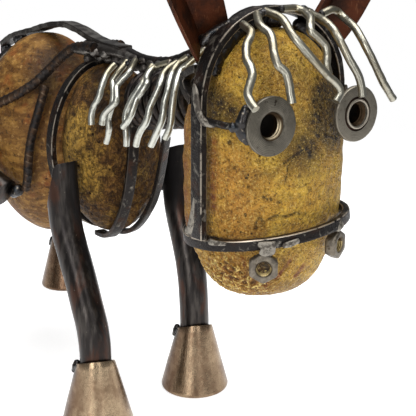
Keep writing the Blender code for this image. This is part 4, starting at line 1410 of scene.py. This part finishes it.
def make_welds():
    pale = [bead(drops, flat, 0.2, 0.82, 10) for flat, drops in PALE_WELDS]
    yoke = [bead(drops, flat, 0.1, 1.1, 30) for flat, drops in YOKE]
    dark = [bead(drops, flat, 0.9) for flat, drops in DARK_WELDS_AND_SHADE]
    # The black drops under the crown strap: painted shade.
    dark.append(bead(gap_filling(), (1, 0.8, 1), 0.7))
    dark.append(bead(root_drops([f"forelock_wire_{lock}" for lock in FORELOCK], 1.6), crust=0.3))
    dark.append(bead(root_drops([f"mane_wire_{lock}" for lock in MANE], 1.5), crust=0.3))
    dark.append(bead(root_drops([f"tail_wire_{number}" for number in TAIL], 2.4), crust=0.8))
    for end, side_name, _side in LIMBS:
        low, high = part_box(f"{end}_hoof_{side_name}")
        x, y = ((low + high) / 2 / MM).xy
        drops = [(x + left, y + HOOF_LINE + back, z, radius) for left, back, z, radius in HOOF_WELD]
        dark.append(bead(drops))
    finished(joined("pale_welds", *pale), "black_steel", [], finish_of(weld_grey), angle=60)
    finished(joined("dark_welds_and_shade", *dark), "black_steel", [], finish_of(black_weld_and_shade), angle=60)
    finished(joined("withers_weld", *yoke), "black_steel", [], finish_of(smooth_steel), angle=180)


# ------------------------------------------------------------------------------------- stage
def softbox(name, place, target, width, height, energy):
    """A lamp with a lit sheet of that width and height in metres, turned to its target."""
    lamp = bpy.data.lights.new(name, "AREA")
    lamp.shape = "RECTANGLE"
    lamp.size, lamp.size_y = width, height
    lamp.energy = energy
    made = placed(name, lamp)
    made.location = place
    made.rotation_euler = (Vector(target) - Vector(place)).to_track_quat("-Z", "Y").to_euler()


def make_floor():
    """A round sheet of white paper whose rim fades away into the white room."""
    look = settings("stage")
    release()
    bpy.ops.mesh.primitive_circle_add(vertices=96, radius=look.reach, fill_type="NGON", location=(0, 0, 0))
    floor = named(bpy.context.object, "studio_floor")
    edit(floor)
    bpy.ops.mesh.inset(thickness=look.reach * 0.5, depth=0)
    release()
    paper = Finish("floor_paper", Roughness=0.9, Specular_IOR_Level=0.1, Emission_Strength=look.glow)
    paper.set(Base_Color=look.floor, Emission_Color=(1.0, 1.0, 1.0))
    away = paper.node("ShaderNodeVectorMath", {"operation": "LENGTH"}, {0: paper.place}, "Value")
    paper.set(Alpha=away.rise(look.reach * 0.98, look.reach * 0.5))
    floor.data.materials.append(paper.material)


def make_room():
    """A white room that throws only a modest light, as a studio hung with white cloth would."""
    look = settings("stage")
    world = bpy.data.worlds.new("studio")
    world.use_nodes = True
    nodes, links = world.node_tree.nodes, world.node_tree.links
    cloth = nodes["Background"]
    cloth.inputs["Color"].default_value = (0.94, 0.97, 1, 1)
    cloth.inputs["Strength"].default_value = look.room
    seen = nodes.new("ShaderNodeBackground")
    seen.inputs["Color"].default_value = (1, 1, 1, 1)
    either = nodes.new("ShaderNodeMixShader")
    path = nodes.new("ShaderNodeLightPath")
    links.new(path.outputs["Is Camera Ray"], either.inputs["Fac"])
    links.new(cloth.outputs["Background"], either.inputs[1])
    links.new(seen.outputs["Background"], either.inputs[2])
    links.new(either.outputs["Shader"], nodes["World Output"].inputs["Surface"])
    bpy.context.scene.world = world


def make_stage():
    """The floor, the room, three soft lamps and a camera before the donkey's right side."""
    look = settings("stage")
    make_floor()
    make_room()
    softbox("key_light", (-0.85, -0.62, 0.47), (0, -0.08, 0.13), 0.30, 0.9, look.key)
    softbox("fill_light", (-0.22, -1.0, 0.44), (0, -0.08, 0.13), 0.20, 0.84, look.fill)
    softbox("top_light", (0.0, -0.15, 1.2), (0, 0, 0), 1.1, 1.1, look.top)
    bpy.context.scene.view_settings.view_transform = "Standard"
    lens = bpy.data.cameras.new("view")
    lens.lens = 73.56
    lens.sensor_width = 36.0
    lens.clip_start = 0.01
    camera = placed("view", lens)
    camera.location = (-0.2293, -0.3842, 0.228)
    camera.rotation_euler = (math.radians(74), 0, math.radians(-38))
    bpy.context.scene.camera = camera


# --------------------------------------------------------------------------------- operators
class DONKEY_OT_head_stone(bpy.types.Operator):
    """Carve the head stone"""
    bl_idname = "donkey.head_stone"
    bl_label = "Head Stone"

    def execute(self, context):
        make_head_stone()
        return {"FINISHED"}


class DONKEY_OT_body_stones(bpy.types.Operator):
    """Carve the chest and rump stones"""
    bl_idname = "donkey.body_stones"
    bl_label = "Chest and Rump Stones"

    def execute(self, context):
        make_body_stones()
        return {"FINISHED"}


class DONKEY_OT_body_straps(bpy.types.Operator):
    """Wear in the spine, the two hoops and the breast straps"""
    bl_idname = "donkey.body_straps"
    bl_label = "Body Straps"

    def execute(self, context):
        make_body_straps()
        return {"FINISHED"}


class DONKEY_OT_head_straps(bpy.types.Operator):
    """Wear in the crown strap, the nose band and the cheek hooks"""
    bl_idname = "donkey.head_straps"
    bl_label = "Head Straps"

    def execute(self, context):
        make_head_straps()
        return {"FINISHED"}


class DONKEY_OT_neck(bpy.types.Operator):
    """Wind the neck spring and set the crest bar over it"""
    bl_idname = "donkey.neck"
    bl_label = "Neck"

    def execute(self, context):
        make_neck()
        return {"FINISHED"}


class DONKEY_OT_mane(bpy.types.Operator):
    """Crimp the wires of the forelock and the mane"""
    bl_idname = "donkey.mane"
    bl_label = "Forelock and Mane"

    def execute(self, context):
        make_mane()
        return {"FINISHED"}


class DONKEY_OT_eyes(bpy.types.Operator):
    """Turn the flange nuts of the eyes and their stalks"""
    bl_idname = "donkey.eyes"
    bl_label = "Eyes"

    def execute(self, context):
        make_eyes()
        return {"FINISHED"}


class DONKEY_OT_nostrils(bpy.types.Operator):
    """Cut the hexagon nuts of the nostrils"""
    bl_idname = "donkey.nostrils"
    bl_label = "Nostrils"

    def execute(self, context):
        make_nostrils()
        return {"FINISHED"}


class DONKEY_OT_ears(bpy.types.Operator):
    """Round the edges of the sheet ears and roughen them"""
    bl_idname = "donkey.ears"
    bl_label = "Ears"

    def execute(self, context):
        make_ears()
        return {"FINISHED"}


class DONKEY_OT_legs(bpy.types.Operator):
    """Bend the leg bars"""
    bl_idname = "donkey.legs"
    bl_label = "Legs"

    def execute(self, context):
        make_legs()
        return {"FINISHED"}


class DONKEY_OT_hoofs(bpy.types.Operator):
    """Turn the flared hoofs"""
    bl_idname = "donkey.hoofs"
    bl_label = "Hoofs"

    def execute(self, context):
        make_hoofs()
        return {"FINISHED"}


class DONKEY_OT_harness(bpy.types.Operator):
    """Bend the ribbed bars round the haunches"""
    bl_idname = "donkey.harness"
    bl_label = "Ribbed Bars"

    def execute(self, context):
        make_harness()
        return {"FINISHED"}


class DONKEY_OT_tail(bpy.types.Operator):
    """Hang the tail bar and its wires"""
    bl_idname = "donkey.tail"
    bl_label = "Tail"

    def execute(self, context):
        make_tail()
        return {"FINISHED"}


class DONKEY_OT_welds(bpy.types.Operator):
    """Lay the weld beads on the joints"""
    bl_idname = "donkey.welds"
    bl_label = "Welds"

    def execute(self, context):
        make_welds()
        return {"FINISHED"}


class DONKEY_OT_stage(bpy.types.Operator):
    """Set up the floor, the lights and the camera"""
    bl_idname = "donkey.stage"
    bl_label = "Stage"

    def execute(self, context):
        make_stage()
        return {"FINISHED"}


STEPS = (DONKEY_OT_stage, DONKEY_OT_head_stone, DONKEY_OT_body_stones, DONKEY_OT_body_straps,
         DONKEY_OT_head_straps, DONKEY_OT_neck, DONKEY_OT_mane, DONKEY_OT_eyes, DONKEY_OT_nostrils,
         DONKEY_OT_ears, DONKEY_OT_legs, DONKEY_OT_hoofs, DONKEY_OT_harness, DONKEY_OT_tail, DONKEY_OT_welds)
SETTINGS = (("donkey_stones", DonkeyStones), ("donkey_steel", DonkeySteel), ("donkey_stage", DonkeyStage))


class DONKEY_PT_panel(bpy.types.Panel):
    """The donkey's settings and its pieces, in the order they are made"""
    bl_idname = "DONKEY_PT_panel"
    bl_label = "Recycled Donkey"
    bl_space_type = "VIEW_3D"
    bl_region_type = "UI"
    bl_category = "Donkey"

    def draw(self, context):
        for group, kind in SETTINGS:
            box = self.layout.box()
            for setting in kind.__annotations__:
                box.prop(getattr(context.scene, group), setting)
        for step in STEPS:
            self.layout.operator(step.bl_idname)


def register():
    for _group, kind in SETTINGS:
        bpy.utils.register_class(kind)
    for kind in (*STEPS, DONKEY_PT_panel):
        bpy.utils.register_class(kind)
    for group, kind in SETTINGS:
        setattr(bpy.types.Scene, group, PointerProperty(type=kind))


def unregister():
    for group, _kind in SETTINGS:
        delattr(bpy.types.Scene, group)
    for kind in (DONKEY_PT_panel, *reversed(STEPS)):
        bpy.utils.unregister_class(kind)
    for _group, kind in SETTINGS:
        bpy.utils.unregister_class(kind)


def main():
    register()
    for step in STEPS:
        group, name = step.bl_idname.split(".")
        getattr(getattr(bpy.ops, group), name)()


if __name__ == "__main__":
    main()
